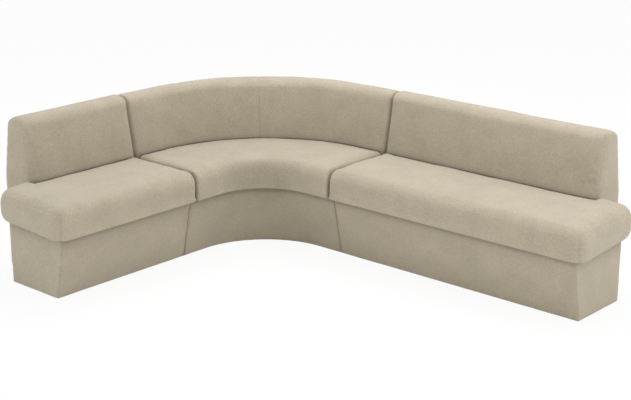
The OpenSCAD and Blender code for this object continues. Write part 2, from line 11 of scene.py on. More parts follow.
import bpy
import numpy as np
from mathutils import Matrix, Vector


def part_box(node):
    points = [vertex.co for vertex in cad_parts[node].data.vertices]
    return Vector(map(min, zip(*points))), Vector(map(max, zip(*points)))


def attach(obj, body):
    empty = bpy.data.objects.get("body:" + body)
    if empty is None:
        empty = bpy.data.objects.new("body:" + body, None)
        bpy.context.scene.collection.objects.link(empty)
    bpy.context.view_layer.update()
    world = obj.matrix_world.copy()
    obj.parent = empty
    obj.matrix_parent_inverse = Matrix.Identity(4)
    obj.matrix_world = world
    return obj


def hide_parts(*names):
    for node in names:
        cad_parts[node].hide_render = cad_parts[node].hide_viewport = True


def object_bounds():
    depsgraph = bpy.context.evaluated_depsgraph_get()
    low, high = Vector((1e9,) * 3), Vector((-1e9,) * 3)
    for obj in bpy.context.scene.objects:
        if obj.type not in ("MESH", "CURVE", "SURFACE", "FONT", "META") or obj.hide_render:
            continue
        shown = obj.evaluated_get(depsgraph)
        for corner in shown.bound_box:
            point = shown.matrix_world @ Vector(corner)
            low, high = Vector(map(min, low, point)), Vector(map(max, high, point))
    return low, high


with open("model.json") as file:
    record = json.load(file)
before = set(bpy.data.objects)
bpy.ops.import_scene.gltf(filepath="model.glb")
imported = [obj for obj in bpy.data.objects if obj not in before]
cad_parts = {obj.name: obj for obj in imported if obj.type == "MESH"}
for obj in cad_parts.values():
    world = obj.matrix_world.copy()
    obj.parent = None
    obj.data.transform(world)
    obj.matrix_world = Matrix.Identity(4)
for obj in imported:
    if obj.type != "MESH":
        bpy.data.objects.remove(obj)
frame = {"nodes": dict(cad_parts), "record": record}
frame_low, frame_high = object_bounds()

# Sizes of the bench, in metres
SEAT_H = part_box("corner_seat_cushion")[1].z
TOTAL_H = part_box("corner_back_pad")[1].z
CUSHION_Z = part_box("corner_seat_cushion")[0].z
GLIDE_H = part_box("short_base_cover")[0].z
PAD_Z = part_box("corner_back_pad")[0].z
BEND_R = 0.297
STUB_LEN = 0.161
SHORT_LEN = 0.815
LONG_LEN = 1.420
SEAT_DEPTH = 0.459
BACK_T = 0.215
FRONT_OVERHANG = 0.053
END_OVERHANG = 0.060
REAR_OVERHANG = 0.024
BASE_SLOPE = 0.065
BASE_DEPTH = 0.417
BACK_INSET = 0.142
FACE_LEAN = 0.046
REAR_LEAN = 0.040
CREST_FRONT_R = 0.046
CREST_REAR_R = 0.050
LIP_DROP = 0.090
PAD_T = 0.045
CREST_T = 0.034
LIP_T = 0.020
END_PAD_T = 0.024
SKIN_T = 0.005
HALF_GAP = 0.0005
CLEARANCE = 0.0006

BASE_TOP_R = BEND_R + FRONT_OVERHANG
BASE_FOOT_R = BASE_TOP_R + BASE_SLOPE
BASE_REAR_R = BASE_TOP_R + BASE_DEPTH
BACK_R = BEND_R + SEAT_DEPTH
REAR_R = BACK_R + BACK_T
LOBE_R = BASE_REAR_R + REAR_OVERHANG
LIP_Z = TOTAL_H - LIP_DROP
CREST_FRONT_Z = TOTAL_H - CREST_FRONT_R
CREST_REAR_Z = TOTAL_H - CREST_REAR_R
CREST_FRONT_C = BACK_R + FACE_LEAN + CREST_FRONT_R
CREST_REAR_C = REAR_R - REAR_LEAN - CREST_REAR_R
BEND_LEN = BACK_R * math.pi / 2
CORNER_LEN = 2 * STUB_LEN + BEND_LEN
UNITS = ("short", "corner", "long")
RUN_LEN = {"short": SHORT_LEN, "corner": CORNER_LEN, "long": LONG_LEN}
BACK_LEN = {"short": SHORT_LEN - BACK_INSET, "corner": CORNER_LEN, "long": LONG_LEN - BACK_INSET}
BEND_CENTRE = np.array([frame_low.x + REAR_R, frame_high.y - REAR_R])


# Places on a unit
def place(unit, points):
    """World places of rows of (distance along, plan radius, height)."""
    u, r, z = np.asarray(points, float).T
    if unit == "short":
        x, y = -r, -STUB_LEN - u
    elif unit == "long":
        x, y = STUB_LEN + u, r
    else:
        turn = np.pi - (u - STUB_LEN) / BEND_LEN * np.pi / 2
        before, after = u < STUB_LEN, u > STUB_LEN + BEND_LEN
        x = np.where(before, -r, np.where(after, u - STUB_LEN - BEND_LEN, r * np.cos(turn)))
        y = np.where(before, u - STUB_LEN, np.where(after, r, r * np.sin(turn)))
    return np.column_stack([x + BEND_CENTRE[0], y + BEND_CENTRE[1], z])


def locate(unit, world):
    """Rows of (distance along, plan radius, height) of world places."""
    x, y, z = np.asarray(world, float).T
    x, y = x - BEND_CENTRE[0], y - BEND_CENTRE[1]
    if unit == "short":
        return np.column_stack([-STUB_LEN - y, -x, z])
    if unit == "long":
        return np.column_stack([x - STUB_LEN, y, z])
    turn = np.arctan2(y, x)
    before, after = y < 0, x > 0
    u = STUB_LEN + (np.pi - turn) / (np.pi / 2) * BEND_LEN
    u = np.where(before, y + STUB_LEN, np.where(after, x + STUB_LEN + BEND_LEN, u))
    r = np.where(before, -x, np.where(after, y, np.hypot(x, y)))
    return np.column_stack([u, r, z])


def unit_axes(unit, world):
    """Directions along the unit and outwards from the bend's centre, at world places."""
    count = len(world)
    if unit == "short":
        return np.tile([0.0, -1, 0], (count, 1)), np.tile([-1.0, 0, 0], (count, 1))
    if unit == "long":
        return np.tile([1.0, 0, 0], (count, 1)), np.tile([0.0, 1, 0], (count, 1))
    x, y = world[:, 0] - BEND_CENTRE[0], world[:, 1] - BEND_CENTRE[1]
    turn = np.clip(np.arctan2(y, x), np.pi / 2, np.pi)
    turn = np.where(y < 0, np.pi, turn)
    out = np.column_stack([np.cos(turn), np.sin(turn), np.zeros(count)])
    ahead = np.column_stack([np.sin(turn), -np.cos(turn), np.zeros(count)])
    return ahead, out


# Outlines shared by the padded pieces
def smooth_step(low, high, value):
    t = np.clip((value - low) / (high - low), 0, 1)
    return t * t * (3 - 2 * t)


def oval(centre, radii, start, stop, steps):
    turns = np.radians(np.linspace(start, stop, steps + 1))
    return [(centre[0] + radii[0] * math.cos(a), centre[1] + radii[1] * math.sin(a)) for a in turns]


def arc(centre, radius, start, stop, steps):
    return oval(centre, (radius, radius), start, stop, steps)


def slope_r(z):
    return BASE_FOOT_R - BASE_SLOPE * z / CUSHION_Z


def face_r(z):
    return BACK_R + FACE_LEAN * max(0.0, z - SEAT_H) / (CREST_FRONT_Z - SEAT_H)


def rear_face_r(z):
    return REAR_R - REAR_LEAN * max(0.0, z - SEAT_H) / (CREST_REAR_Z - SEAT_H)


def bend_stops(steps):
    return [STUB_LEN + BEND_LEN * i / steps for i in range(steps + 1)]


def new_object(name, points, faces):
    mesh = bpy.data.meshes.new(name)
    mesh.from_pydata([tuple(p) for p in points], [], faces)
    mesh.validate()
    mesh.update()
    obj = bpy.data.objects.new(name, mesh)
    bpy.context.scene.collection.objects.link(obj)
    return obj


def loft_faces(ring_count, size, first=0, mirrored=False):
    """Quads over closed rings, whose first half lies opposite the second half, with flat ends."""
    faces = []
    for k in range(ring_count - 1):
        for i in range(size):
            a, b = first + k * size + i, first + k * size + (i + 1) % size
            faces.append((a, b, b + size, a + size))
    top = first + (ring_count - 1) * size
    for i in range(size // 2 - 1):
        a, b, c, d = i, i + 1, size - 2 - i, size - 1 - i
        faces.append((first + d, first + c, first + b, first + a))
        faces.append((top + a, top + b, top + c, top + d))
    return [face[::-1] for face in faces] if mirrored else faces


class Form:
    """A closed form made of one or more lofts on one unit."""

    def __init__(self, unit):
        self.unit, self.points, self.faces = unit, [], []

    def loft(self, rings):
        size = len(rings[0])
        self.faces += loft_faces(len(rings), size, len(self.points), self.unit == "short")
        for ring in rings:
            self.points += list(place(self.unit, ring))

    def make(self, name):
        return new_object(name, self.points, self.faces)


# Seat cushions
NOSE_R = 0.060
CHIN_R = 0.006
CHIN_FLARE = 0.002
CROWN = 0.008
FRONT_CORNER_R = 0.064
REAR_CORNER_R = 0.060
JOINT_CORNER_R = 0.016
JOINT_SHARE = 0.15
REAR_SHARE = 0.06
LOBE_SHARE = 0.75
LOBE_RISE = 0.020
LOBE_RAMP = 0.040
LOBE_FALL_SHARE = 0.5
LOBE_SPREAD = 0.15
LOBE_STEP_GAP = 0.004
LOBE_STEP = 0.020
LOBE_CHIN_R = 0.052
LOBE_CHIN_SHARE = 0.4
CROWN_INSET = SEAT_DEPTH / 2 - 0.03
RIM_Z = SEAT_H - CROWN
RIM_STEPS = 8
CORNER_STEPS = 8
CROWN_SHARES = (0.08, 0.2, 0.35, 0.55, 0.75, 1.0)
LOBE_STOPS = (0.004, 0.012, 0.024, 0.036, 0.050, 0.066)


def cushion_stops(unit):
    if unit == "corner":
        return [STUB_LEN / 2] + bend_stops(60) + [CORNER_LEN - STUB_LEN / 2]
    last = BACK_LEN[unit]
    return [last * i / 8 for i in range(1, 8)] + [last + reach for reach in LOBE_STOPS]


def cushion_rear(unit, u, inset):
    """The rear stands upright against the backrest, and steps out beside its free end."""
    straight = BACK_R - CLEARANCE - inset * REAR_SHARE
    step_start = BACK_LEN[unit] + LOBE_STEP_GAP
    if unit == "corner" or u <= step_start:
        return straight
    ramp = min(1.0, (u - step_start) / LOBE_STEP)
    return straight + (LOBE_R - inset * LOBE_SHARE - straight) * ramp


def lobe_lift(unit, u, r, z):
    """Rise of the top beside the free end of the backrest, where nothing presses on the cushion."""
    if unit == "corner":
        return 0.0
    last, end = BACK_LEN[unit], RUN_LEN[unit] + END_OVERHANG
    along = smooth_step(last, last + LOBE_RAMP, u)
    along = along * (1 - LOBE_FALL_SHARE * smooth_step(last + LOBE_RAMP, end, u))
    across = smooth_step(BACK_R - LOBE_SPREAD, BACK_R, r)
    return LOBE_RISE * along * smooth_step(CUSHION_Z, RIM_Z, z) * across


def lobe_undercut(z):
    """How far the free rear corner curves in below its middle."""
    drop = LOBE_CHIN_R - min(z - CUSHION_Z, LOBE_CHIN_R)
    return LOBE_CHIN_R - math.sqrt(LOBE_CHIN_R ** 2 - drop ** 2)


def cushion_ring(unit, inset, z):
    free = unit != "corner"
    joint_inset = min(max(inset, 0) * JOINT_SHARE, STUB_LEN / 3)
    end_inset = min(inset, BACK_INSET - 0.015) if free else joint_inset
    least = NOSE_R / 20
    u0 = HALF_GAP + joint_inset
    u1 = RUN_LEN[unit] + (END_OVERHANG if free else -HALF_GAP) - end_inset
    joint_r = max(JOINT_CORNER_R - joint_inset, least)
    front_r = max(FRONT_CORNER_R - inset, least) if free else joint_r
    lobe_r = max(REAR_CORNER_R - inset, least) if free else joint_r
    front = BEND_R + inset
    rear0 = cushion_rear(unit, u0, inset)
    rear1 = cushion_rear(unit, u1, inset)
    undercut = lobe_undercut(z) if free else 0.0
    rear1 -= undercut * LOBE_CHIN_SHARE
    rear_u1 = u1 - undercut
    stops = cushion_stops(unit)
    near = arc((u0 + joint_r, front + joint_r), joint_r, 180, 270, CORNER_STEPS)
    near += [(u, front) for u in stops]
    near += arc((u1 - front_r, front + front_r), front_r, 270, 360, CORNER_STEPS)
    far = arc((u0 + joint_r, rear0 - joint_r), joint_r, 180, 90, CORNER_STEPS)
    far += [(u, cushion_rear(unit, u, inset)) for u in stops]
    far += arc((rear_u1 - lobe_r, rear1 - lobe_r), lobe_r, 90, 0, CORNER_STEPS)
    return [(u, r, z + lobe_lift(unit, u, r, z)) for u, r in near + far[::-1]]


def cushion_form(unit):
    levels = [(CHIN_R * (1 - y) - CHIN_FLARE, CUSHION_Z + CHIN_R * (1 - x))
              for x, y in arc((0, 0), 1, 0, 90, RIM_STEPS // 2)]
    levels += [(0.0, CUSHION_Z + LOBE_CHIN_R * share) for share in (0.3, 0.45, 0.6, 0.8, 1.0)]
    levels += [(NOSE_R * (1 - x), RIM_Z - NOSE_R * (1 - y))
               for x, y in arc((0, 0), 1, 0, 90, RIM_STEPS)]
    levels += [(NOSE_R + (CROWN_INSET - NOSE_R) * share, RIM_Z + CROWN * math.sin(share * math.pi / 2))
               for share in CROWN_SHARES]
    form = Form(unit)
    form.loft([cushion_ring(unit, inset, z) for inset, z in levels])
    return form


# Backrest padding
PAD_STEPS = 8
PAD_REAR_SHARE = 0.2
FACE_SHARES = (0.9, 0.75, 0.6, 0.45, 0.3, 0.15, 0.0)
PAD_JOINT_ROLL = ((0.0, 0.013), (0.0025, 0.0075), (0.006, 0.0035), (0.012, 0.0006), (0.018, 0.0))


def pad_line(inset, thickness):
    """Section line from the rear over the crest and down the front, moved in by a padding thickness."""
    rear_t, crest_t, front_t = thickness
    rear_inset = inset * PAD_REAR_SHARE
    line = []
    for i in range(3):
        z = LIP_Z + (CREST_REAR_Z - LIP_Z) * i / 3
        line.append((rear_face_r(z) - rear_inset - rear_t, z))
    rear_radii = (CREST_REAR_R - rear_inset - crest_t, CREST_REAR_R - inset - crest_t)
    line += oval((CREST_REAR_C, CREST_REAR_Z), rear_radii, 0, 90, PAD_STEPS)
    line += arc((CREST_FRONT_C, CREST_FRONT_Z), CREST_FRONT_R - inset - crest_t, 90, 180, PAD_STEPS)
    for share in FACE_SHARES:
        z = SEAT_H + (CREST_FRONT_Z - SEAT_H) * share
        line.append((face_r(z) + inset + front_t, z))
    line.append((BACK_R + inset + front_t, PAD_Z))
    return line


def pad_ring(u, inset):
    outer = pad_line(inset, (0, 0, 0))
    inner = pad_line(0, (LIP_T, CREST_T, PAD_T))
    return [(u, r, z) for r, z in outer + inner[::-1]]


def end_ring(u, inset):
    """The closed end of the padding, down to the floor behind the base."""
    rear_inset = inset * PAD_REAR_SHARE
    outer = [(REAR_R - rear_inset, GLIDE_H + inset / 2), (REAR_R - rear_inset, SEAT_H)]
    outer += pad_line(inset, (0, 0, 0))[:1] + pad_line(inset, (0, 0, 0))[3:]
    foot = BASE_REAR_R + CLEARANCE + inset / 4
    inner = [(REAR_R - inset - 0.03 - (REAR_R - 0.06 - foot) * i / len(outer), GLIDE_H)
             for i in range(len(outer) - 2)]
    inner += [(foot, GLIDE_H + 0.01), (foot, PAD_Z - 0.002)]
    return [(u, r, z) for r, z in outer + inner[::-1]]


def pad_form(unit):
    last = BACK_LEN[unit]
    form = Form(unit)
    if unit == "corner":
        stops = [(HALF_GAP + u, inset) for u, inset in PAD_JOINT_ROLL]
        stops += [(u, 0.0) for u in bend_stops(60)]
        stops += [(last - HALF_GAP - u, inset) for u, inset in PAD_JOINT_ROLL[::-1]]
        form.loft([pad_ring(u, inset) for u, inset in stops])
        return form
    stops = [(HALF_GAP + u, inset) for u, inset in PAD_JOINT_ROLL]
    stops += [(last * i / 12, 0.0) for i in range(1, 12)] + [(last - END_PAD_T, 0.0)]
    form.loft([pad_ring(u, inset) for u, inset in stops])
    wall = last - END_PAD_T - 0.001
    round_end = [(last - (1 - x) * END_PAD_T, (1 - y) * END_PAD_T) for y, x in arc((0, 0), 1, 0, 90, 6)]
    form.loft([end_ring(u, inset) for u, inset in [(wall, 0.0)] + round_end])
    return form


# Padded covers of the bases and of the rear
def wall_form(unit, path_at, low, high, levels, thickness, inward):
    """A thin wall along a plan path that may change with height. inward gives the wall's inner side."""
    form = Form(unit)
    foot = [low + FOOT_ROLL_R * share for share in (0.0, 0.1, 0.3, 0.6)]
    heights = foot + list(np.linspace(low + FOOT_ROLL_R, high, levels))
    levels = len(heights)
    outer = [path_at(z) for z in heights]
    count = len(outer[0])
    points, faces = [], []
    for z, path in zip(heights, outer):
        points += [(u, r, z) for u, r in path]
    for z, path in zip(heights, outer):
        points += [(u, r, z) for u, r in inward(path, thickness)]
    shift = levels * count
    for k in range(levels - 1):
        for i in range(count - 1):
            a = k * count + i
            faces.append((a, a + 1, a + 1 + count, a + count))
            b = a + shift
            faces.append((b, b + count, b + 1 + count, b + 1))
    for i in range(count - 1):
        top = (levels - 1) * count
        faces.append((i + 1, i, i + shift, i + 1 + shift))
        faces.append((top + i, top + i + 1, top + i + 1 + shift, top + i + shift))
    for k in range(levels - 1):
        a, b = k * count, (k + 1) * count
        faces.append((a, b, b + shift, a + shift))
        a, b = a + count - 1, b + count - 1
        faces.append((b, a, a + shift, b + shift))
    form.points = list(place(unit, points))
    form.faces = [face[::-1] for face in faces] if unit == "short" else faces
    return form


def offset_path(path, distance):
    """The path moved to its left-hand side."""
    path = np.asarray(path)
    ahead = np.gradient(path, axis=0)
    ahead /= np.linalg.norm(ahead, axis=1)[:, None]
    return path + distance * np.column_stack([-ahead[:, 1], ahead[:, 0]])


def spaced(start, stop, step):
    count = max(2, int(round(abs(stop - start) / step)))
    return [start + (stop - start) * i / count for i in range(count + 1)]


EDGE_R = 0.014
FOOT_ROLL_R = 0.005
JOINT_FOLD_R = 0.009
JOINT_FOLD = 0.016
COVER_GAP = 0.0004
LIP_GAP = 0.0012
BASE_CLOTH_T = SKIN_T - 0.001
REAR_CLOTH_T = SKIN_T - 0.002
BASE_SEAM_DEPTH = 0.0014
BASE_SEAM_SHARE = 0.043
SEAM_TURNS = (0, 0.17, 0.32, 0.42, 0.47, 0.5, 0.53, 0.58, 0.68, 0.83, 1)
CLOTH_STEP = 0.012


def foot_roll(z):
    """How far the cloth has turned under at the foot."""
    drop = FOOT_ROLL_R - min(z - GLIDE_H, FOOT_ROLL_R)
    return FOOT_ROLL_R - math.sqrt(FOOT_ROLL_R ** 2 - drop ** 2)


def seamed_corner(centre, radius, start, stop):
    """A rounded corner with a sewn seam down its middle."""
    path = []
    for turn in SEAM_TURNS:
        depth = BASE_SEAM_DEPTH * max(0.0, 1 - abs(turn - 0.5) / BASE_SEAM_SHARE)
        path += arc(centre, radius - depth, start + (stop - start) * turn, 0, 0)
    return path


def base_path(unit, z):
    """Plan path round a base: the cloth folds in at a joint and turns round the free corners."""
    roll = foot_roll(z)
    front = slope_r(z) + roll
    rear = BASE_REAR_R - roll
    turn = HALF_GAP + JOINT_FOLD_R
    path = [(HALF_GAP, front + JOINT_FOLD + JOINT_FOLD_R)]
    path += arc((turn, front + JOINT_FOLD_R), JOINT_FOLD_R, 180, 270, 5)
    if unit == "corner":
        far = CORNER_LEN - turn
        path += [(u, front) for u in spaced(turn, far, CLOTH_STEP)[1:-1]]
        path += arc((far, front + JOINT_FOLD_R), JOINT_FOLD_R, 270, 360, 5)
        return path + [(CORNER_LEN - HALF_GAP, front + JOINT_FOLD + JOINT_FOLD_R)]
    end = RUN_LEN[unit] - roll
    path += [(u, front) for u in spaced(turn, end - EDGE_R, CLOTH_STEP)[1:-1]]
    path += seamed_corner((end - EDGE_R, front + EDGE_R), EDGE_R, 270, 360)
    steps = spaced(BASE_FOOT_R + EDGE_R, BASE_REAR_R - EDGE_R, CLOTH_STEP)
    squeeze = (rear - front - 2 * EDGE_R) / (steps[-1] - steps[0])
    path += [(end, front + EDGE_R + (r - steps[0]) * squeeze) for r in steps[1:-1]]
    path += seamed_corner((end - EDGE_R, rear - EDGE_R), EDGE_R, 0, 90)
    return path + [(u, rear) for u in spaced(end - EDGE_R, HALF_GAP, CLOTH_STEP)[1:]]


def base_form(unit):
    return wall_form(
        unit, lambda z: base_path(unit, z), GLIDE_H, CUSHION_Z - COVER_GAP, 26, BASE_CLOTH_T, offset_path)


def rear_panel_form(unit):
    """The rear panel: upright to the seat's height, then leaning in with the backrest."""
    last = BACK_LEN[unit] - (HALF_GAP if unit == "corner" else END_PAD_T + LIP_GAP)

    def path_at(z):
        edge = rear_face_r(z) - foot_roll(z)
        turn = HALF_GAP + JOINT_FOLD_R
        path = [(last, edge - SKIN_T)]
        path += arc((last - JOINT_FOLD_R, edge - JOINT_FOLD_R), JOINT_FOLD_R, 0, 90, 4)
        path += [(u, edge) for u in spaced(last - JOINT_FOLD_R, turn, CLOTH_STEP)[1:-1]]
        path += arc((turn, edge - JOINT_FOLD_R), JOINT_FOLD_R, 90, 180, 4)
        return path + [(HALF_GAP, edge - SKIN_T)]

    return wall_form(unit, path_at, GLIDE_H, LIP_Z - LIP_GAP, 56, REAR_CLOTH_T, offset_path)


# Turning a form into soft cloth
VOXEL = 0.008
PRESSURE = 4.0
SIM_FRAMES = 20
CUSHION_CAP = 0.007
CUSHION_HELD_H = 0.03
PAD_CAP = 0.006
CUSHION_TUCK_R = 0.010
CUSHION_TUCK = 0.009
PAD_TUCK_R = 0.011
PAD_TUCK = 0.012
CUSHION_WAVE = 0.0011
PAD_WAVE = 0.0010
WALL_WAVE = 0.0006
FRONT_SEAM_WIDTH = 0.0080
FRONT_SEAM_DEPTH = 0.0020
RIDGE_SEAM_WIDTH = 0.0040
RIDGE_SEAM_DEPTH = 0.0010
BEND_SEAM_WIDTH = 0.005
BEND_SEAM_DEPTH = 0.0035
SEAM_FADE = 0.02
BESIDE_GAP = 0.003
LOBE_PROUD = 0.004
END_PROUD = 0.006
BACK_END_PROUD = 0.002


def solid_copy(obj, name):
    """The object's mesh with its modifiers applied, as a new object in its place."""
    graph = bpy.context.evaluated_depsgraph_get()
    mesh = bpy.data.meshes.new_from_object(obj.evaluated_get(graph))
    fresh = bpy.data.objects.new(name, mesh)
    bpy.context.scene.collection.objects.link(fresh)
    bpy.data.objects.remove(obj, do_unlink=True)
    return fresh


def even_mesh(obj, name):
    remesh = obj.modifiers.new("even", "REMESH")
    remesh.mode, remesh.voxel_size = "VOXEL", VOXEL
    smooth = obj.modifiers.new("relax", "SMOOTH")
    smooth.factor, smooth.iterations = 0.5, 3
    return solid_copy(obj, name)


def vertices(obj):
    flat = np.empty(len(obj.data.vertices) * 3)
    obj.data.vertices.foreach_get("co", flat)
    return flat.reshape(-1, 3)


def set_vertices(obj, points):
    obj.data.vertices.foreach_set("co", np.ascontiguousarray(points, float).ravel())
    obj.data.update()


def vertex_normals(obj):
    flat = np.empty(len(obj.data.vertices) * 3)
    obj.data.vertex_normals.foreach_get("vector", flat)
    return flat.reshape(-1, 3)


def fill_with_pressure(objects):
    """Swells the closed cloth skins together and returns where their points end up."""
    for obj in objects:
        cloth = obj.modifiers.new("cloth", "CLOTH")
        cloth.settings.quality = 5
        cloth.settings.mass = 0.3
        cloth.settings.tension_stiffness = 15
        cloth.settings.compression_stiffness = 15
        cloth.settings.shear_stiffness = 5
        cloth.settings.bending_stiffness = 0.5
        cloth.settings.use_pressure = True
        cloth.settings.uniform_pressure_force = PRESSURE
        cloth.settings.effector_weights.gravity = 0
    scene = bpy.context.scene
    scene.frame_start, scene.frame_end = 1, SIM_FRAMES
    for number in range(1, SIM_FRAMES + 1):
        scene.frame_set(number)
    graph = bpy.context.evaluated_depsgraph_get()
    swollen = []
    for obj in objects:
        result = obj.evaluated_get(graph).data
        flat = np.empty(len(result.vertices) * 3)
        result.vertices.foreach_get("co", flat)
        swollen.append(flat.reshape(-1, 3))
    for obj in objects:
        obj.modifiers.clear()
    scene.frame_set(1)
    return swollen


def slow_waves(points, seed, amplitude):
    """Low uneven swells, as hand-laid wadding leaves them."""
    rng = np.random.default_rng(seed)
    total = np.zeros(len(points))
    for _ in range(9):
        wave = rng.normal(size=3)
        wave *= (2 * math.pi / rng.uniform(0.14, 0.45)) / np.linalg.norm(wave)
        total += np.sin(points @ wave + rng.uniform(0, 2 * math.pi))
    return total / 3 * amplitude


# Painted shade: reach of each darkened band, and how much the cloth colour is darkened in it, standing in
# for the shade at joints, seams and contacts, under the seat's overhang, over the lower backrests and over
# the bend's front
JOINT_REACH = 0.004
CUSHION_JOINT_SHADE = 0.25
PAD_JOINT_SHADE = 0.20
BASE_JOINT_SHADE = 0.30
BEND_SIDE_REACH = 0.020
BEND_SIDE_SHADE = 0.08
UNDER_SEAT_DEPTH = 0.022
UNDER_SEAT_REACH = 0.012
UNDER_SEAT_SHADE = 0.40
UNDER_END_REACH = 0.020
UNDER_END_SHADE = 0.21
AGAINST_BACK_REACH = 0.008
AGAINST_BACK_SHADE = 0.20
AGAINST_SEAT_REACH = 0.010
AGAINST_SEAT_SHADE = 0.22
LOWER_BACK_SHADE = 0.10
BEND_FRONT_SHADE = 0.18
FRONT_SEAM_SHADE = 0.08
RIDGE_SEAM_SHADE = 0.04
BEND_SEAM_SHADE = 0.06


def ridge(distance, width):
    """1 on a line, fading out on both sides of it."""
    return np.exp(-((distance / width) ** 2))


def faded(distance, reach):
    """1 at a distance of zero or less, fading out with the distance."""
    return np.exp(-np.maximum(distance, 0) / reach)


def joint_distance(unit, spot):
    """How far each place lies from the nearest joint of its unit."""
    reach = spot[:, 0] - HALF_GAP
    if unit == "corner":
        reach = np.minimum(reach, CORNER_LEN - HALF_GAP - spot[:, 0])
    return reach


def store_painted_shade(obj, *shares):
    """Stores the painted shade at each point: how much the cloth colour is darkened where shade falls, in a
    crease or against a neighbour.
    """
    clear = np.ones(len(obj.data.vertices))
    for share in shares:
        clear *= 1 - share
    layer = obj.data.attributes.new("painted_shade", "FLOAT", "POINT")
    layer.data.foreach_set("value", 1 - clear)


def tuck_joints(obj, unit, radius, depth):
    """Rolls the outer faces in at each joint, so that two neighbours meet in a narrow groove."""
    points, normals = vertices(obj), vertex_normals(obj)
    spot = locate(unit, points)
    ahead = unit_axes(unit, points)[0]
    flat = normals - (normals * ahead).sum(1)[:, None] * ahead
    size = np.linalg.norm(flat, axis=1)
    inward = -flat / np.maximum(size, 1e-9)[:, None]
    near = np.clip(1 - joint_distance(unit, spot) / radius, 0, 1)
    roll = depth * (1 - np.sqrt(1 - near ** 2)) * smooth_step(0.25, 0.5, size)
    set_vertices(obj, points + inward * roll[:, None])


def subdivide(obj, levels):
    sub = obj.modifiers.new("fine", "SUBSURF")
    sub.levels = sub.render_levels = levels
    name = obj.name
    obj.name = name + "_coarse"
    return solid_copy(obj, name)


def capped_move(start, swollen, cap):
    """How far each point has moved, and never further than the cap."""
    move = swollen - start
    reach = np.linalg.norm(move, axis=1)
    return move * np.minimum(1, cap / np.maximum(reach, 1e-9))[:, None]


def finish_cushion(obj, unit, start, swollen):
    """Keeps the swelling small, the underside flat and the cushion clear of its neighbours."""
    spot = locate(unit, start)
    held = smooth_step(CUSHION_Z, CUSHION_Z + CUSHION_HELD_H, spot[:, 2])
    set_vertices(obj, start + capped_move(start, swollen, CUSHION_CAP) * held[:, None])
    obj = subdivide(obj, 1)
    points = vertices(obj)
    spot = locate(unit, points)
    above = smooth_step(CUSHION_Z + 0.02, CUSHION_Z + 0.08, spot[:, 2])
    rise = slow_waves(points, 11 + UNITS.index(unit), CUSHION_WAVE) * above
    seams = np.zeros(len(points))
    if unit != "corner":
        corner_u = RUN_LEN[unit] + END_OVERHANG - FRONT_CORNER_R
        corner_r = BEND_R + FRONT_CORNER_R
        off_line = ((spot[:, 0] - corner_u) - (corner_r - spot[:, 1])) / math.sqrt(2)
        outside = smooth_step(0.0, SEAM_FADE, spot[:, 0] - corner_u)
        below = 1 - smooth_step(RIM_Z - 0.030, RIM_Z - 0.012, spot[:, 2])
        corner_seam = ridge(off_line, FRONT_SEAM_WIDTH) * outside * (spot[:, 1] < corner_r) * below
        ridge_u, ridge_z = corner_u + FRONT_CORNER_R - NOSE_R, RIM_Z - NOSE_R
        off_ridge = ((spot[:, 0] - ridge_u) - (spot[:, 2] - ridge_z)) / math.sqrt(2)
        outside = smooth_step(0.0, SEAM_FADE, spot[:, 0] - ridge_u)
        outside *= smooth_step(0.0, SEAM_FADE, spot[:, 2] - ridge_z)
        along = smooth_step(BEND_R + 0.016, BEND_R + 0.040, spot[:, 1])
        ridge_seam = ridge(off_ridge, RIDGE_SEAM_WIDTH) * outside * along
        rise -= FRONT_SEAM_DEPTH * corner_seam + RIDGE_SEAM_DEPTH * ridge_seam
        # Painted shade along the front corner seam and the ridge seam, over their real grooves.
        seams = FRONT_SEAM_SHADE * corner_seam + RIDGE_SEAM_SHADE * ridge_seam
    points = points + vertex_normals(obj) * rise[:, None]
    spot = locate(unit, points)
    low = np.maximum(spot[:, 2], CUSHION_Z)
    beside = spot[:, 0] > BACK_LEN[unit] + BESIDE_GAP
    limit = np.where(beside & (unit != "corner"), LOBE_R + LOBE_PROUD, BACK_R - CLEARANCE)
    end = RUN_LEN[unit] + END_OVERHANG + END_PROUD if unit != "corner" else CORNER_LEN - HALF_GAP
    spot = np.column_stack([np.clip(spot[:, 0], HALF_GAP, end), np.minimum(spot[:, 1], limit), low])
    set_vertices(obj, place(unit, spot))
    tuck_joints(obj, unit, CUSHION_TUCK_R, CUSHION_TUCK)
    # Painted shade: darker against the backrest, at the joints and over the front of the bend's cushion.
    against_back = faded(BACK_R - spot[:, 1], AGAINST_BACK_REACH) * (1 - beside)
    joint = faded(joint_distance(unit, spot), JOINT_REACH)
    bend = np.sin(np.pi * np.clip((spot[:, 0] - STUB_LEN) / BEND_LEN, 0, 1)) * (unit == "corner")
    front = 1 - smooth_step(BEND_R + 0.010, BEND_R + NOSE_R, spot[:, 1])
    store_painted_shade(obj, seams, AGAINST_BACK_SHADE * against_back, CUSHION_JOINT_SHADE * joint,
                 BEND_FRONT_SHADE * bend * front)
    return obj


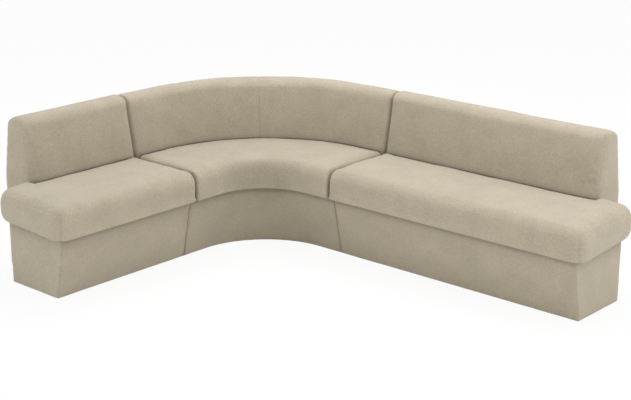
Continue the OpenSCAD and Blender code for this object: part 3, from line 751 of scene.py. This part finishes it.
def finish_pad(obj, unit, start, swollen):
    """Lets only the outer side swell, and keeps the padding clear of the cushion and its neighbours."""
    spot = locate(unit, start)
    last = BACK_LEN[unit]
    face = np.array([face_r(z) for z in spot[:, 2]])
    outer = 1 - smooth_step(0.012, 0.028, spot[:, 1] - face)
    crest = smooth_step(TOTAL_H - 0.030, TOTAL_H - 0.012, spot[:, 2])
    free_end = smooth_step(last - 0.015, last - 0.004, spot[:, 0]) * (unit != "corner")
    high = smooth_step(PAD_Z + 0.02, SEAT_H - 0.02, spot[:, 2])
    held = np.maximum(np.maximum(outer, crest) * high, free_end * 0.5)
    set_vertices(obj, start + capped_move(start, swollen, PAD_CAP) * held[:, None])
    obj = subdivide(obj, 1)
    points = vertices(obj)
    spot = locate(unit, points)
    face = np.array([face_r(z) for z in spot[:, 2]])
    outer = 1 - smooth_step(0.015, 0.03, spot[:, 1] - face)
    crest = smooth_step(TOTAL_H - 0.035, TOTAL_H - 0.015, spot[:, 2])
    shown = np.maximum(outer, crest)
    rise = slow_waves(points, 31 + UNITS.index(unit), PAD_WAVE) * shown
    seam = ridge(spot[:, 0] - CORNER_LEN / 2, BEND_SEAM_WIDTH) * shown * (unit == "corner")
    rise -= BEND_SEAM_DEPTH * seam
    points = points + vertex_normals(obj) * rise[:, None]
    spot = locate(unit, points)
    tucked = spot[:, 2] < SEAT_H - 0.005
    r = np.where(tucked, np.maximum(spot[:, 1], BACK_R), spot[:, 1])
    far = last - HALF_GAP if unit == "corner" else last + BACK_END_PROUD
    spot = np.column_stack([np.clip(spot[:, 0], HALF_GAP, far), r, np.maximum(spot[:, 2], GLIDE_H)])
    set_vertices(obj, place(unit, spot))
    tuck_joints(obj, unit, PAD_TUCK_R, PAD_TUCK)
    # Painted shade: darker towards the seat over the lower front, against the seat, at the joints and along
    # the bend's seam over its real groove.
    lower = np.clip(1 - (spot[:, 2] - SEAT_H) / (CREST_FRONT_Z - SEAT_H), 0, 1) * outer
    against_seat = faded(spot[:, 2] - SEAT_H, AGAINST_SEAT_REACH) * outer
    joint = faded(joint_distance(unit, spot), JOINT_REACH)
    store_painted_shade(obj, BEND_SEAM_SHADE * seam, LOWER_BACK_SHADE * lower,
                 AGAINST_SEAT_SHADE * against_seat, PAD_JOINT_SHADE * joint)
    return obj


def finish_wall(obj, unit, seed):
    points = vertices(obj)
    rise = slow_waves(points, seed, WALL_WAVE)
    spot = locate(unit, points + vertex_normals(obj) * rise[:, None])
    spot[:, 0] = np.maximum(spot[:, 0], HALF_GAP)
    if unit == "corner":
        spot[:, 0] = np.minimum(spot[:, 0], CORNER_LEN - HALF_GAP)
    spot[:, 2] = np.clip(spot[:, 2], GLIDE_H, None)
    set_vertices(obj, place(unit, spot))
    # Painted shade: darker under the seat's overhang, more on the fronts than on the ends, at the joints,
    # and beside the corner unit's joints.
    below = CUSHION_Z - UNDER_SEAT_DEPTH - spot[:, 2]
    facing_end = np.abs((vertex_normals(obj) * unit_axes(unit, points)[0]).sum(1))
    under_seat = UNDER_SEAT_SHADE * faded(below, UNDER_SEAT_REACH) * (1 - facing_end)
    under_seat += UNDER_END_SHADE * faded(below, UNDER_END_REACH) * facing_end
    under_seat *= spot[:, 1] < BASE_REAR_R + CLEARANCE
    joint = faded(joint_distance(unit, spot), JOINT_REACH)
    bend_side = faded(joint_distance(unit, spot), BEND_SIDE_REACH) * (unit == "corner")
    store_painted_shade(obj, under_seat, BASE_JOINT_SHADE * joint, BEND_SIDE_SHADE * bend_side)


def lay_cloth(obj, unit):
    """A UV map in metres, square to the unit, so that the weave keeps its scale and direction."""
    mesh = obj.data
    count = len(mesh.polygons)
    normals, centres = np.empty(count * 3), np.empty(count * 3)
    mesh.polygons.foreach_get("normal", normals)
    mesh.polygons.foreach_get("center", centres)
    normals, centres = normals.reshape(-1, 3), centres.reshape(-1, 3)
    ahead, out = unit_axes(unit, centres)
    facing = np.column_stack([
        np.abs((normals * ahead).sum(1)), np.abs((normals * out).sum(1)), np.abs(normals[:, 2])])
    side = facing.argmax(1)
    loops = np.empty(len(mesh.loops), int)
    mesh.loops.foreach_get("vertex_index", loops)
    totals = np.empty(count, int)
    mesh.polygons.foreach_get("loop_total", totals)
    side = np.repeat(side, totals)
    spot = locate(unit, vertices(obj))[loops]
    across = np.where(side == 0, spot[:, 1], spot[:, 0])
    up = np.where(side == 2, spot[:, 1], spot[:, 2])
    layer = mesh.uv_layers.new(name="cloth")
    layer.data.foreach_set("uv", np.column_stack([across, up]).ravel())


# Node helpers
def new_group(name, inputs, outputs):
    group = bpy.data.node_groups.new(name, "ShaderNodeTree")
    for label, kind, default in inputs:
        socket = group.interface.new_socket(label, in_out="INPUT", socket_type=kind)
        if default is not None:
            socket.default_value = default
    for label, kind in outputs:
        group.interface.new_socket(label, in_out="OUTPUT", socket_type=kind)
    return group, group.nodes.new("NodeGroupInput"), group.nodes.new("NodeGroupOutput")


def plug(tree, source, target):
    tree.links.new(source, target)


def math_node(tree, operation, first, second=None, third=None):
    node = tree.nodes.new("ShaderNodeMath")
    node.operation = operation
    for socket, value in zip(node.inputs, (first, second, third)):
        if value is None:
            continue
        if isinstance(value, (int, float)):
            socket.default_value = value
        else:
            tree.links.new(value, socket)
    return node.outputs[0]


def mix_colour(tree, amount, first, second, blend="MIX"):
    node = tree.nodes.new("ShaderNodeMix")
    node.data_type, node.blend_type = "RGBA", blend
    for socket, value in ((node.inputs[0], amount), (node.inputs[6], first), (node.inputs[7], second)):
        if isinstance(value, (int, float, tuple)):
            socket.default_value = value
        else:
            tree.links.new(value, socket)
    return node.outputs[2]


def noise(tree, vector, scale, detail=2.0, rough=0.5):
    node = tree.nodes.new("ShaderNodeTexNoise")
    node.inputs["Scale"].default_value = scale
    node.inputs["Detail"].default_value = detail
    node.inputs["Roughness"].default_value = rough
    tree.links.new(vector, node.inputs["Vector"])
    return node.outputs["Fac"]


def scaled(tree, vector, factors):
    node = tree.nodes.new("ShaderNodeVectorMath")
    node.operation = "MULTIPLY"
    tree.links.new(vector, node.inputs[0])
    node.inputs[1].default_value = factors
    return node.outputs[0]


def remap(tree, value, low, high, to_low, to_high):
    node = tree.nodes.new("ShaderNodeMapRange")
    tree.links.new(value, node.inputs["Value"])
    for label, number in (("From Min", low), ("From Max", high), ("To Min", to_low), ("To Max", to_high)):
        node.inputs[label].default_value = number
    return node.outputs["Result"]


def make_weave_group():
    """Plain weave: rounded warp and weft yarns that pass over and under each other."""
    tree, entry, leave = new_group(
        "Plain weave",
        [("Place", "NodeSocketVector", None), ("Yarns per metre", "NodeSocketFloat", 400.0),
         ("Waver", "NodeSocketFloat", 0.4)],
        [("Height", "NodeSocketFloat"), ("Warp", "NodeSocketFloat")])
    waver = noise(tree, entry.outputs["Place"], 90.0, 1.0)
    sway = math_node(tree, "MULTIPLY", math_node(tree, "SUBTRACT", waver, 0.5), entry.outputs["Waver"])
    parts = tree.nodes.new("ShaderNodeSeparateXYZ")
    plug(tree, entry.outputs["Place"], parts.inputs[0])
    counts = []
    for axis in (0, 1):
        run = math_node(tree, "MULTIPLY", parts.outputs[axis], entry.outputs["Yarns per metre"])
        counts.append(math_node(tree, "ADD", run, sway))
    heights = []
    for mine, other in ((counts[0], counts[1]), (counts[1], counts[0])):
        across = math_node(tree, "SUBTRACT", math_node(tree, "FRACT", mine), 0.5)
        round_yarn = math_node(tree, "COSINE", math_node(tree, "MULTIPLY", across, math.pi))
        step = math_node(tree, "ADD", math_node(tree, "FLOOR", mine), other)
        dive = math_node(tree, "SINE", math_node(tree, "MULTIPLY", step, math.pi))
        if mine is counts[1]:
            dive = math_node(tree, "MULTIPLY", dive, -1.0)
        lift = math_node(tree, "MULTIPLY_ADD", dive, 0.4, 0.6)
        heights.append(math_node(tree, "MULTIPLY", round_yarn, lift))
    plug(tree, math_node(tree, "MAXIMUM", heights[0], heights[1]), leave.inputs["Height"])
    plug(tree, math_node(tree, "GREATER_THAN", heights[0], heights[1]), leave.inputs["Warp"])
    return tree


def make_nub_group():
    """Uneven nubs of thick and thin yarn, with flecks that are lighter and darker than the ground."""
    tree, entry, leave = new_group(
        "Yarn nubs",
        [("Place", "NodeSocketVector", None)],
        [("Height", "NodeSocketFloat"), ("Fleck", "NodeSocketFloat"), ("Shade", "NodeSocketFloat")])
    place_in = entry.outputs["Place"]
    coarse = noise(tree, place_in, 130.0, 3.0, 0.6)
    fine = noise(tree, place_in, 420.0, 2.0, 0.6)
    cells = tree.nodes.new("ShaderNodeTexVoronoi")
    cells.feature = "SMOOTH_F1"
    cells.inputs["Scale"].default_value = 210.0
    plug(tree, place_in, cells.inputs["Vector"])
    bead = remap(tree, cells.outputs["Distance"], 0.1, 0.7, 1.0, 0.0)
    height = math_node(tree, "MULTIPLY", coarse, 0.8)
    height = math_node(tree, "MULTIPLY_ADD", bead, 0.5, height)
    height = math_node(tree, "MULTIPLY_ADD", fine, 0.3, height)
    plug(tree, height, leave.inputs["Height"])
    plug(tree, remap(tree, coarse, 0.36, 0.64, 0.0, 1.0), leave.inputs["Fleck"])
    plug(tree, noise(tree, place_in, 9.0, 3.0, 0.55), leave.inputs["Shade"])
    return tree


def make_grain_group():
    """Wood grain along one axis: long fibres, growth bands and pores."""
    tree, entry, leave = new_group(
        "Wood grain",
        [("Place", "NodeSocketVector", None)],
        [("Grain", "NodeSocketFloat"), ("Pores", "NodeSocketFloat")])
    along = scaled(tree, entry.outputs["Place"], (0.12, 0.12, 1.0))
    bands = noise(tree, along, 60.0, 4.0, 0.6)
    ripple = tree.nodes.new("ShaderNodeTexWave")
    ripple.bands_direction = "Z"
    ripple.inputs["Scale"].default_value = 26.0
    ripple.inputs["Distortion"].default_value = 6.0
    ripple.inputs["Detail"].default_value = 3.0
    plug(tree, along, ripple.inputs["Vector"])
    grain = math_node(tree, "MULTIPLY", bands, 0.5)
    grain = math_node(tree, "MULTIPLY_ADD", ripple.outputs["Fac"], 0.5, grain)
    plug(tree, grain, leave.inputs["Grain"])
    plug(tree, noise(tree, along, 900.0, 1.0), leave.inputs["Pores"])
    return tree


def start_material(name):
    material = bpy.data.materials.new(name)
    material.use_nodes = True
    tree = material.node_tree
    shader = tree.nodes["Principled BSDF"]
    coords = tree.nodes.new("ShaderNodeTexCoord")
    return material, tree, shader, coords


def use_group(tree, group, vector):
    node = tree.nodes.new("ShaderNodeGroup")
    node.node_tree = group
    tree.links.new(vector, node.inputs["Place"])
    return node


def bump(tree, shader, height, strength, distance):
    node = tree.nodes.new("ShaderNodeBump")
    node.inputs["Strength"].default_value = strength
    node.inputs["Distance"].default_value = distance
    tree.links.new(height, node.inputs["Height"])
    tree.links.new(node.outputs["Normal"], shader.inputs["Normal"])


CLOTH_GROUND = (0.452, 0.398, 0.302, 1.0)
CLOTH_LIGHT = (0.565, 0.505, 0.398, 1.0)
CLOTH_DARK = (0.330, 0.283, 0.205, 1.0)


def make_cloth(weave, nubs):
    material, tree, shader, coords = start_material("greige_woven_cloth")
    uv = tree.nodes.new("ShaderNodeUVMap")
    uv.uv_map = "cloth"
    woven = use_group(tree, weave, uv.outputs["UV"])
    woven.inputs["Yarns per metre"].default_value = 420.0
    woven.inputs["Waver"].default_value = 0.9
    nubby = use_group(tree, nubs, coords.outputs["Object"])
    fleck = remap(tree, nubby.outputs["Fleck"], 0.0, 1.0, 0.2, 0.75)
    ground = mix_colour(tree, fleck, CLOTH_DARK, CLOTH_LIGHT)
    ground = mix_colour(tree, 0.45, ground, CLOTH_GROUND)
    # Painted shade: darker in the gaps between the yarns.
    gap_shade = remap(tree, woven.outputs["Height"], 0.15, 0.75, 0.30, 0.0)
    ground = mix_colour(tree, gap_shade, ground, CLOTH_DARK)
    shade = remap(tree, nubby.outputs["Shade"], 0.3, 0.7, 0.94, 1.05)
    # Painted shade: the base colour is darkened by the stored painted shade.
    painted_shade = tree.nodes.new("ShaderNodeAttribute")
    painted_shade.attribute_name = "painted_shade"
    shade = math_node(tree, "MULTIPLY", shade, math_node(tree, "SUBTRACT", 1.0, painted_shade.outputs["Fac"]))
    grey = tree.nodes.new("ShaderNodeCombineColor")
    for socket in grey.inputs:
        tree.links.new(shade, socket)
    plug(tree, mix_colour(tree, 1.0, ground, grey.outputs[0], "MULTIPLY"), shader.inputs["Base Color"])
    rough = remap(tree, nubby.outputs["Fleck"], 0.0, 1.0, 0.97, 0.88)
    plug(tree, rough, shader.inputs["Roughness"])
    shader.inputs["Specular IOR Level"].default_value = 0.15
    shader.inputs["Sheen Weight"].default_value = 0.30
    shader.inputs["Sheen Roughness"].default_value = 0.5
    height = math_node(
        tree, "ADD", math_node(tree, "MULTIPLY", woven.outputs["Height"], 0.55), nubby.outputs["Height"])
    bump(tree, shader, height, 0.55, 0.0016)
    return material


def make_thread():
    material, tree, shader, coords = start_material("seam_thread")
    twist = noise(tree, coords.outputs["Object"], 1200.0, 1.0)
    yarn = mix_colour(tree, twist, (0.30, 0.26, 0.19, 1.0), (0.42, 0.37, 0.28, 1.0))
    plug(tree, yarn, shader.inputs["Base Color"])
    shader.inputs["Roughness"].default_value = 0.7
    bump(tree, shader, twist, 0.4, 0.0004)
    return material


def make_dust_cloth():
    material, tree, shader, coords = start_material("black_base_cloth")
    fibres = noise(tree, coords.outputs["Object"], 700.0, 4.0, 0.7)
    dust = noise(tree, coords.outputs["Object"], 7.0, 3.0)
    black = mix_colour(tree, fibres, (0.012, 0.012, 0.013, 1.0), (0.050, 0.050, 0.053, 1.0))
    plug(tree, mix_colour(tree, remap(tree, dust, 0.45, 0.8, 0.0, 0.25), black, (0.10, 0.09, 0.08, 1.0)),
         shader.inputs["Base Color"])
    shader.inputs["Roughness"].default_value = 0.95
    bump(tree, shader, fibres, 0.5, 0.0006)
    return material


BIRCH_PALE = (0.66, 0.50, 0.31, 1.0)
BIRCH_DARK = (0.50, 0.35, 0.19, 1.0)
SOFTWOOD_PALE = (0.72, 0.57, 0.36, 1.0)
SOFTWOOD_DARK = (0.55, 0.38, 0.20, 1.0)


def make_wood(name, grain, pale, dark, turn):
    material, tree, shader, coords = start_material(name)
    mapping = tree.nodes.new("ShaderNodeMapping")
    mapping.inputs["Rotation"].default_value = turn
    plug(tree, coords.outputs["Object"], mapping.inputs["Vector"])
    wood = use_group(tree, grain, mapping.outputs["Vector"])
    base = mix_colour(tree, wood.outputs["Grain"], pale, dark)
    pores = remap(tree, wood.outputs["Pores"], 0.55, 0.75, 0.0, 0.35)
    plug(tree, mix_colour(tree, pores, base, dark), shader.inputs["Base Color"])
    plug(tree, remap(tree, wood.outputs["Grain"], 0.0, 1.0, 0.55, 0.75), shader.inputs["Roughness"])
    bump(tree, shader, wood.outputs["Grain"], 0.25, 0.0006)
    return material


def make_zinc():
    material, tree, shader, coords = start_material("zinc_plated_steel")
    bloom = noise(tree, coords.outputs["Object"], 160.0, 4.0)
    metal = mix_colour(tree, bloom, (0.50, 0.51, 0.53, 1.0), (0.70, 0.70, 0.69, 1.0))
    plug(tree, metal, shader.inputs["Base Color"])
    shader.inputs["Metallic"].default_value = 1.0
    plug(tree, remap(tree, bloom, 0.3, 0.7, 0.28, 0.50), shader.inputs["Roughness"])
    bump(tree, shader, bloom, 0.15, 0.0003)
    return material


def make_nylon():
    material, tree, shader, coords = start_material("black_nylon")
    scuffs = noise(tree, coords.outputs["Object"], 300.0, 4.0, 0.7)
    plug(tree, mix_colour(tree, scuffs, (0.014, 0.014, 0.015, 1.0), (0.040, 0.040, 0.042, 1.0)),
         shader.inputs["Base Color"])
    plug(tree, remap(tree, scuffs, 0.3, 0.7, 0.42, 0.62), shader.inputs["Roughness"])
    bump(tree, shader, scuffs, 0.2, 0.0003)
    return material


# Stitches and staples along a line
ARCH_FLATTENING = 0.25
STITCH_SPACING = 0.011
STITCH_LENGTH = 0.0065
STITCH_R = 0.00055
STAPLE_SPACING = 0.055
STAPLE_LENGTH = 0.011
STAPLE_R = 0.0006
SEAM_END_MARGIN = 0.008
THREAD_LIFT = 0.0004
THREAD_INSET = 0.0006
STAPLE_INSET = 0.012
STAPLE_DROP = 0.0001


def make_row_tree():
    """Arched pieces set along a line at an even spacing, standing on the line's outward direction."""
    tree = bpy.data.node_groups.new("Row along a line", "GeometryNodeTree")
    face = tree.interface
    face.new_socket("Geometry", in_out="INPUT", socket_type="NodeSocketGeometry")
    for label, value in (("Spacing", 0.01), ("Length", 0.006), ("Thickness", 0.0006)):
        face.new_socket(label, in_out="INPUT", socket_type="NodeSocketFloat").default_value = value
    face.new_socket("Finish", in_out="INPUT", socket_type="NodeSocketMaterial")
    face.new_socket("Geometry", in_out="OUTPUT", socket_type="NodeSocketGeometry")
    add, link = tree.nodes.new, tree.links.new
    entry, leave = add("NodeGroupInput"), add("NodeGroupOutput")
    curve = add("GeometryNodeMeshToCurve")
    link(entry.outputs["Geometry"], curve.inputs["Mesh"])
    points = add("GeometryNodeCurveToPoints")
    points.mode = "LENGTH"
    link(curve.outputs["Curve"], points.inputs["Curve"])
    link(entry.outputs["Spacing"], points.inputs["Length"])
    outward = add("GeometryNodeInputNamedAttribute")
    outward.data_type = "FLOAT_VECTOR"
    outward.inputs["Name"].default_value = "outward"
    stand = add("FunctionNodeAlignRotationToVector")
    stand.axis = "Y"
    link(outward.outputs["Attribute"], stand.inputs["Vector"])
    head = add("FunctionNodeAlignRotationToVector")
    head.axis, head.pivot_axis = "X", "Y"
    link(stand.outputs["Rotation"], head.inputs["Rotation"])
    link(points.outputs["Tangent"], head.inputs["Vector"])
    radius = add("ShaderNodeMath")
    radius.operation = "MULTIPLY"
    link(entry.outputs["Length"], radius.inputs[0])
    radius.inputs[1].default_value = 1 / math.sqrt(3)
    arch = add("GeometryNodeCurveArc")
    arch.inputs["Resolution"].default_value = 6
    link(radius.outputs[0], arch.inputs["Radius"])
    arch.inputs["Start Angle"].default_value = math.radians(30)
    arch.inputs["Sweep Angle"].default_value = math.radians(120)
    sink = add("ShaderNodeMath")
    sink.operation = "MULTIPLY"
    link(radius.outputs[0], sink.inputs[0])
    sink.inputs[1].default_value = -0.5 * ARCH_FLATTENING
    down = add("ShaderNodeCombineXYZ")
    link(sink.outputs[0], down.inputs["Y"])
    lower = add("GeometryNodeTransform")
    lower.inputs["Scale"].default_value = (1.0, ARCH_FLATTENING, 1.0)
    link(arch.outputs["Curve"], lower.inputs["Geometry"])
    link(down.outputs[0], lower.inputs["Translation"])
    round_section = add("GeometryNodeCurvePrimitiveCircle")
    round_section.inputs["Resolution"].default_value = 6
    link(entry.outputs["Thickness"], round_section.inputs["Radius"])
    tube = add("GeometryNodeCurveToMesh")
    link(lower.outputs["Geometry"], tube.inputs["Curve"])
    link(round_section.outputs["Curve"], tube.inputs["Profile Curve"])
    tube.inputs["Fill Caps"].default_value = True
    copies = add("GeometryNodeInstanceOnPoints")
    link(points.outputs["Points"], copies.inputs["Points"])
    link(tube.outputs["Mesh"], copies.inputs["Instance"])
    link(head.outputs["Rotation"], copies.inputs["Rotation"])
    real = add("GeometryNodeRealizeInstances")
    link(copies.outputs["Instances"], real.inputs["Geometry"])
    finish = add("GeometryNodeSetMaterial")
    link(real.outputs["Geometry"], finish.inputs["Geometry"])
    link(entry.outputs["Finish"], finish.inputs["Material"])
    link(finish.outputs["Geometry"], leave.inputs["Geometry"])
    return tree


def row_along(name, lines, tree, spacing, length, thickness, finish):
    """lines holds (places, outward directions) pairs. Returns one plain mesh of the row's pieces."""
    points, edges, normals = [], [], []
    for places, outward in lines:
        first = len(points)
        points += [tuple(p) for p in places]
        normals += [tuple(n) for n in outward]
        edges += [(first + i, first + i + 1) for i in range(len(places) - 1)]
    mesh = bpy.data.meshes.new(name)
    mesh.from_pydata(points, edges, [])
    attribute = mesh.attributes.new("outward", "FLOAT_VECTOR", "POINT")
    attribute.data.foreach_set("vector", np.asarray(normals, float).ravel())
    obj = bpy.data.objects.new(name + "_line", mesh)
    bpy.context.scene.collection.objects.link(obj)
    row = obj.modifiers.new("row", "NODES")
    row.node_group = tree
    values = {"Spacing": spacing, "Length": length, "Thickness": thickness, "Finish": finish}
    for item in tree.interface.items_tree:
        if item.item_type == "SOCKET" and item.in_out == "INPUT" and item.name in values:
            row[item.identifier] = values[item.name]
    return solid_copy(obj, name)


def rear_seam_lines(unit):
    """The seam where the padding meets the rear panel, and the seam down its free edge."""
    last = BACK_LEN[unit] - (HALF_GAP if unit == "corner" else END_PAD_T)
    stops = spaced(HALF_GAP + SEAM_END_MARGIN, last, CLOTH_STEP)
    places = place(unit, [(u, rear_face_r(LIP_Z) + THREAD_LIFT, LIP_Z - THREAD_INSET) for u in stops])
    lines = [(places, unit_axes(unit, places)[1])]
    if unit != "corner":
        heights = spaced(GLIDE_H + SEAM_END_MARGIN, LIP_Z - SEAM_END_MARGIN, CLOTH_STEP)
        places = place(unit, [(last - THREAD_INSET, rear_face_r(z) + THREAD_LIFT, z) for z in heights])
        lines.append((places, unit_axes(unit, places)[1]))
    return lines


def staple_lines(unit):
    """Staples round the edge of the cloth under a base."""
    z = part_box(unit + "_dust_cloth")[0].z - STAPLE_DROP
    front, rear = BASE_FOOT_R + SKIN_T + STAPLE_INSET, BASE_REAR_R - SKIN_T - STAPLE_INSET
    end = RUN_LEN[unit] - (HALF_GAP if unit == "corner" else SKIN_T) - STAPLE_INSET
    stops = spaced(HALF_GAP + STAPLE_INSET, end, CLOTH_STEP)
    lines = []
    for r in (front, rear):
        places = place(unit, [(u, r, z) for u in stops])
        lines.append((places, np.tile([0.0, 0, -1], (len(places), 1))))
    return lines


# Scene
CAMERA_PLACE = (4.3096, -4.7913, 2.4324)
CAMERA_YAW = 131.679
CAMERA_PITCH = 17.270
PHOTO_W = 631
FOCAL_PX = 1409.7
SENSOR_MM = 36.0
FLOOR_HALF = 9.0
FLOOR_COLOUR = (0.86, 0.86, 0.86, 1.0)
FLOOR_WHITE_SHARE = 0.92
STUDIO_COLOUR = (1.0, 0.99, 0.97, 1.0)
STUDIO_STRENGTH = 0.80
LAMPS = (
    ("overhead", (-1.2, 1.6, 4.0), (0.0, 0.0, 0.3), 3.0, 75),
    ("overhead_right", (1.6, 0.2, 3.4), (0.8, 0.6, 0.3), 2.4, 28),
    ("right", (3.2, 0.8, 1.6), (0.9, 0.5, 0.4), 1.6, 13),
    ("left", (-2.4, -5.2, 2.0), (-0.6, -0.6, 0.4), 2.6, 40),
)


def make_camera():
    data = bpy.data.cameras.new("camera")
    data.sensor_width = SENSOR_MM
    data.sensor_fit = "HORIZONTAL"
    data.lens = FOCAL_PX / PHOTO_W * SENSOR_MM
    camera = bpy.data.objects.new("camera", data)
    camera.location = CAMERA_PLACE
    yaw, pitch = math.radians(CAMERA_YAW), math.radians(CAMERA_PITCH)
    ahead = Vector((math.cos(pitch) * math.cos(yaw), math.cos(pitch) * math.sin(yaw), -math.sin(pitch)))
    camera.rotation_euler = ahead.to_track_quat("-Z", "Y").to_euler()
    bpy.context.scene.collection.objects.link(camera)
    bpy.context.scene.camera = camera


def soft_box(name, spot, target, size, power):
    data = bpy.data.lights.new(name, "AREA")
    data.shape, data.size, data.energy = "DISK", size, power
    lamp = bpy.data.objects.new(name, data)
    lamp.location = spot
    lamp.rotation_euler = (Vector(target) - Vector(spot)).to_track_quat("-Z", "Y").to_euler()
    bpy.context.scene.collection.objects.link(lamp)


def seen_white(tree, shade, white_kind, share):
    """Mixes plain white into a shader, for camera, mirror and glass rays only."""
    path = tree.nodes.new("ShaderNodeLightPath")
    direct = math_node(tree, "MAXIMUM", path.outputs["Is Camera Ray"], path.outputs["Is Glossy Ray"])
    direct = math_node(tree, "MAXIMUM", direct, path.outputs["Is Transmission Ray"])
    white = tree.nodes.new(white_kind)
    white.inputs["Strength"].default_value = 1.0
    mix = tree.nodes.new("ShaderNodeMixShader")
    plug(tree, math_node(tree, "MULTIPLY", direct, share), mix.inputs[0])
    plug(tree, shade, mix.inputs[1])
    plug(tree, white.outputs[0], mix.inputs[2])
    return mix.outputs[0]


def make_floor():
    half = FLOOR_HALF
    floor = new_object("floor", [(-half, -half, 0), (half, -half, 0), (half, half, 0), (-half, half, 0)],
                       [(0, 1, 2, 3)])
    material = bpy.data.materials.new("pale_floor")
    material.use_nodes = True
    tree = material.node_tree
    tree.nodes.clear()
    shade = tree.nodes.new("ShaderNodeBsdfDiffuse")
    shade.inputs["Color"].default_value = FLOOR_COLOUR
    out = tree.nodes.new("ShaderNodeOutputMaterial")
    white = seen_white(tree, shade.outputs[0], "ShaderNodeEmission", FLOOR_WHITE_SHARE)
    plug(tree, white, out.inputs["Surface"])
    floor.data.materials.append(material)


def make_world():
    world = bpy.data.worlds.new("studio")
    bpy.context.scene.world = world
    world.use_nodes = True
    tree = world.node_tree
    tree.nodes.clear()
    soft = tree.nodes.new("ShaderNodeBackground")
    soft.inputs["Color"].default_value = STUDIO_COLOUR
    soft.inputs["Strength"].default_value = STUDIO_STRENGTH
    out = tree.nodes.new("ShaderNodeOutputWorld")
    plug(tree, seen_white(tree, soft.outputs[0], "ShaderNodeBackground", 1.0), out.inputs["Surface"])


def smooth_faces(obj):
    obj.data.polygons.foreach_set("use_smooth", np.ones(len(obj.data.polygons), bool))


def dress(obj, unit, finish, slot_name, *nodes):
    """Gives a soft piece its cloth and hides the CAD solids it stands for."""
    smooth_faces(obj)
    lay_cloth(obj, unit)
    obj.data.materials.clear()
    obj.data.materials.append(finish)
    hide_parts(*nodes)
    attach(obj, "root")


make_camera()
weave, nubs, grain = make_weave_group(), make_nub_group(), make_grain_group()
cloth = make_cloth(weave, nubs)
finishes = {
    "woven_cloth": cloth,
    "dust_cloth": make_dust_cloth(),
    "plywood": make_wood("birch_plywood", grain, BIRCH_PALE, BIRCH_DARK, (0, math.pi / 2, 0)),
    "batten_wood": make_wood("planed_softwood", grain, SOFTWOOD_PALE, SOFTWOOD_DARK, (0.2, 1.4, 0)),
    "zinc_steel": make_zinc(),
    "glide_plastic": make_nylon(),
}
for entry in frame["record"]["subparts"]:
    solid = frame["nodes"][entry["node"]]
    solid.data.materials.clear()
    solid.data.materials.append(finishes[entry["material_slot"]])

# Cushions and backrests
cushions = [even_mesh(cushion_form(unit).make(unit + "_raw"), unit + "_seat") for unit in UNITS]
pads = [even_mesh(pad_form(unit).make(unit + "_raw"), unit + "_backrest") for unit in UNITS]
starts = [vertices(obj) for obj in cushions + pads]
swollen = fill_with_pressure(cushions + pads)
for index, unit in enumerate(UNITS):
    seat = finish_cushion(cushions[index], unit, starts[index], swollen[index])
    dress(seat, unit, cloth, "woven_cloth", unit + "_seat_cushion")
    back = finish_pad(pads[index], unit, starts[index + 3], swollen[index + 3])
    dress(back, unit, cloth, "woven_cloth", unit + "_back_pad")

# Base covers and rear panels
for index, unit in enumerate(UNITS):
    wrap = base_form(unit).make(unit + "_base_wrap")
    finish_wall(wrap, unit, 51 + index)
    dress(wrap, unit, cloth, "woven_cloth", unit + "_base_cover")
    panel = rear_panel_form(unit).make(unit + "_rear_panel")
    finish_wall(panel, unit, 61 + index)
    dress(panel, unit, cloth, "woven_cloth", unit + "_outside_back")

# Stitches down the rear seams and staples under the bases
row_tree = make_row_tree()
thread = make_thread()
seam_lines = [line for unit in UNITS for line in rear_seam_lines(unit)]
stitches = row_along("rear_stitches", seam_lines, row_tree, STITCH_SPACING, STITCH_LENGTH, STITCH_R, thread)
under_lines = [line for unit in UNITS for line in staple_lines(unit)]
steel = finishes["zinc_steel"]
staples = row_along("base_staples", under_lines, row_tree, STAPLE_SPACING, STAPLE_LENGTH, STAPLE_R, steel)
for piece, slot_name in ((stitches, "woven_cloth"), (staples, "zinc_steel")):
    smooth_faces(piece)
    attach(piece, "root")

make_world()
make_floor()
for name, spot, target, size, power in LAMPS:
    soft_box(name, spot, target, size, power)
scene = bpy.context.scene
scene.view_settings.view_transform = "Standard"
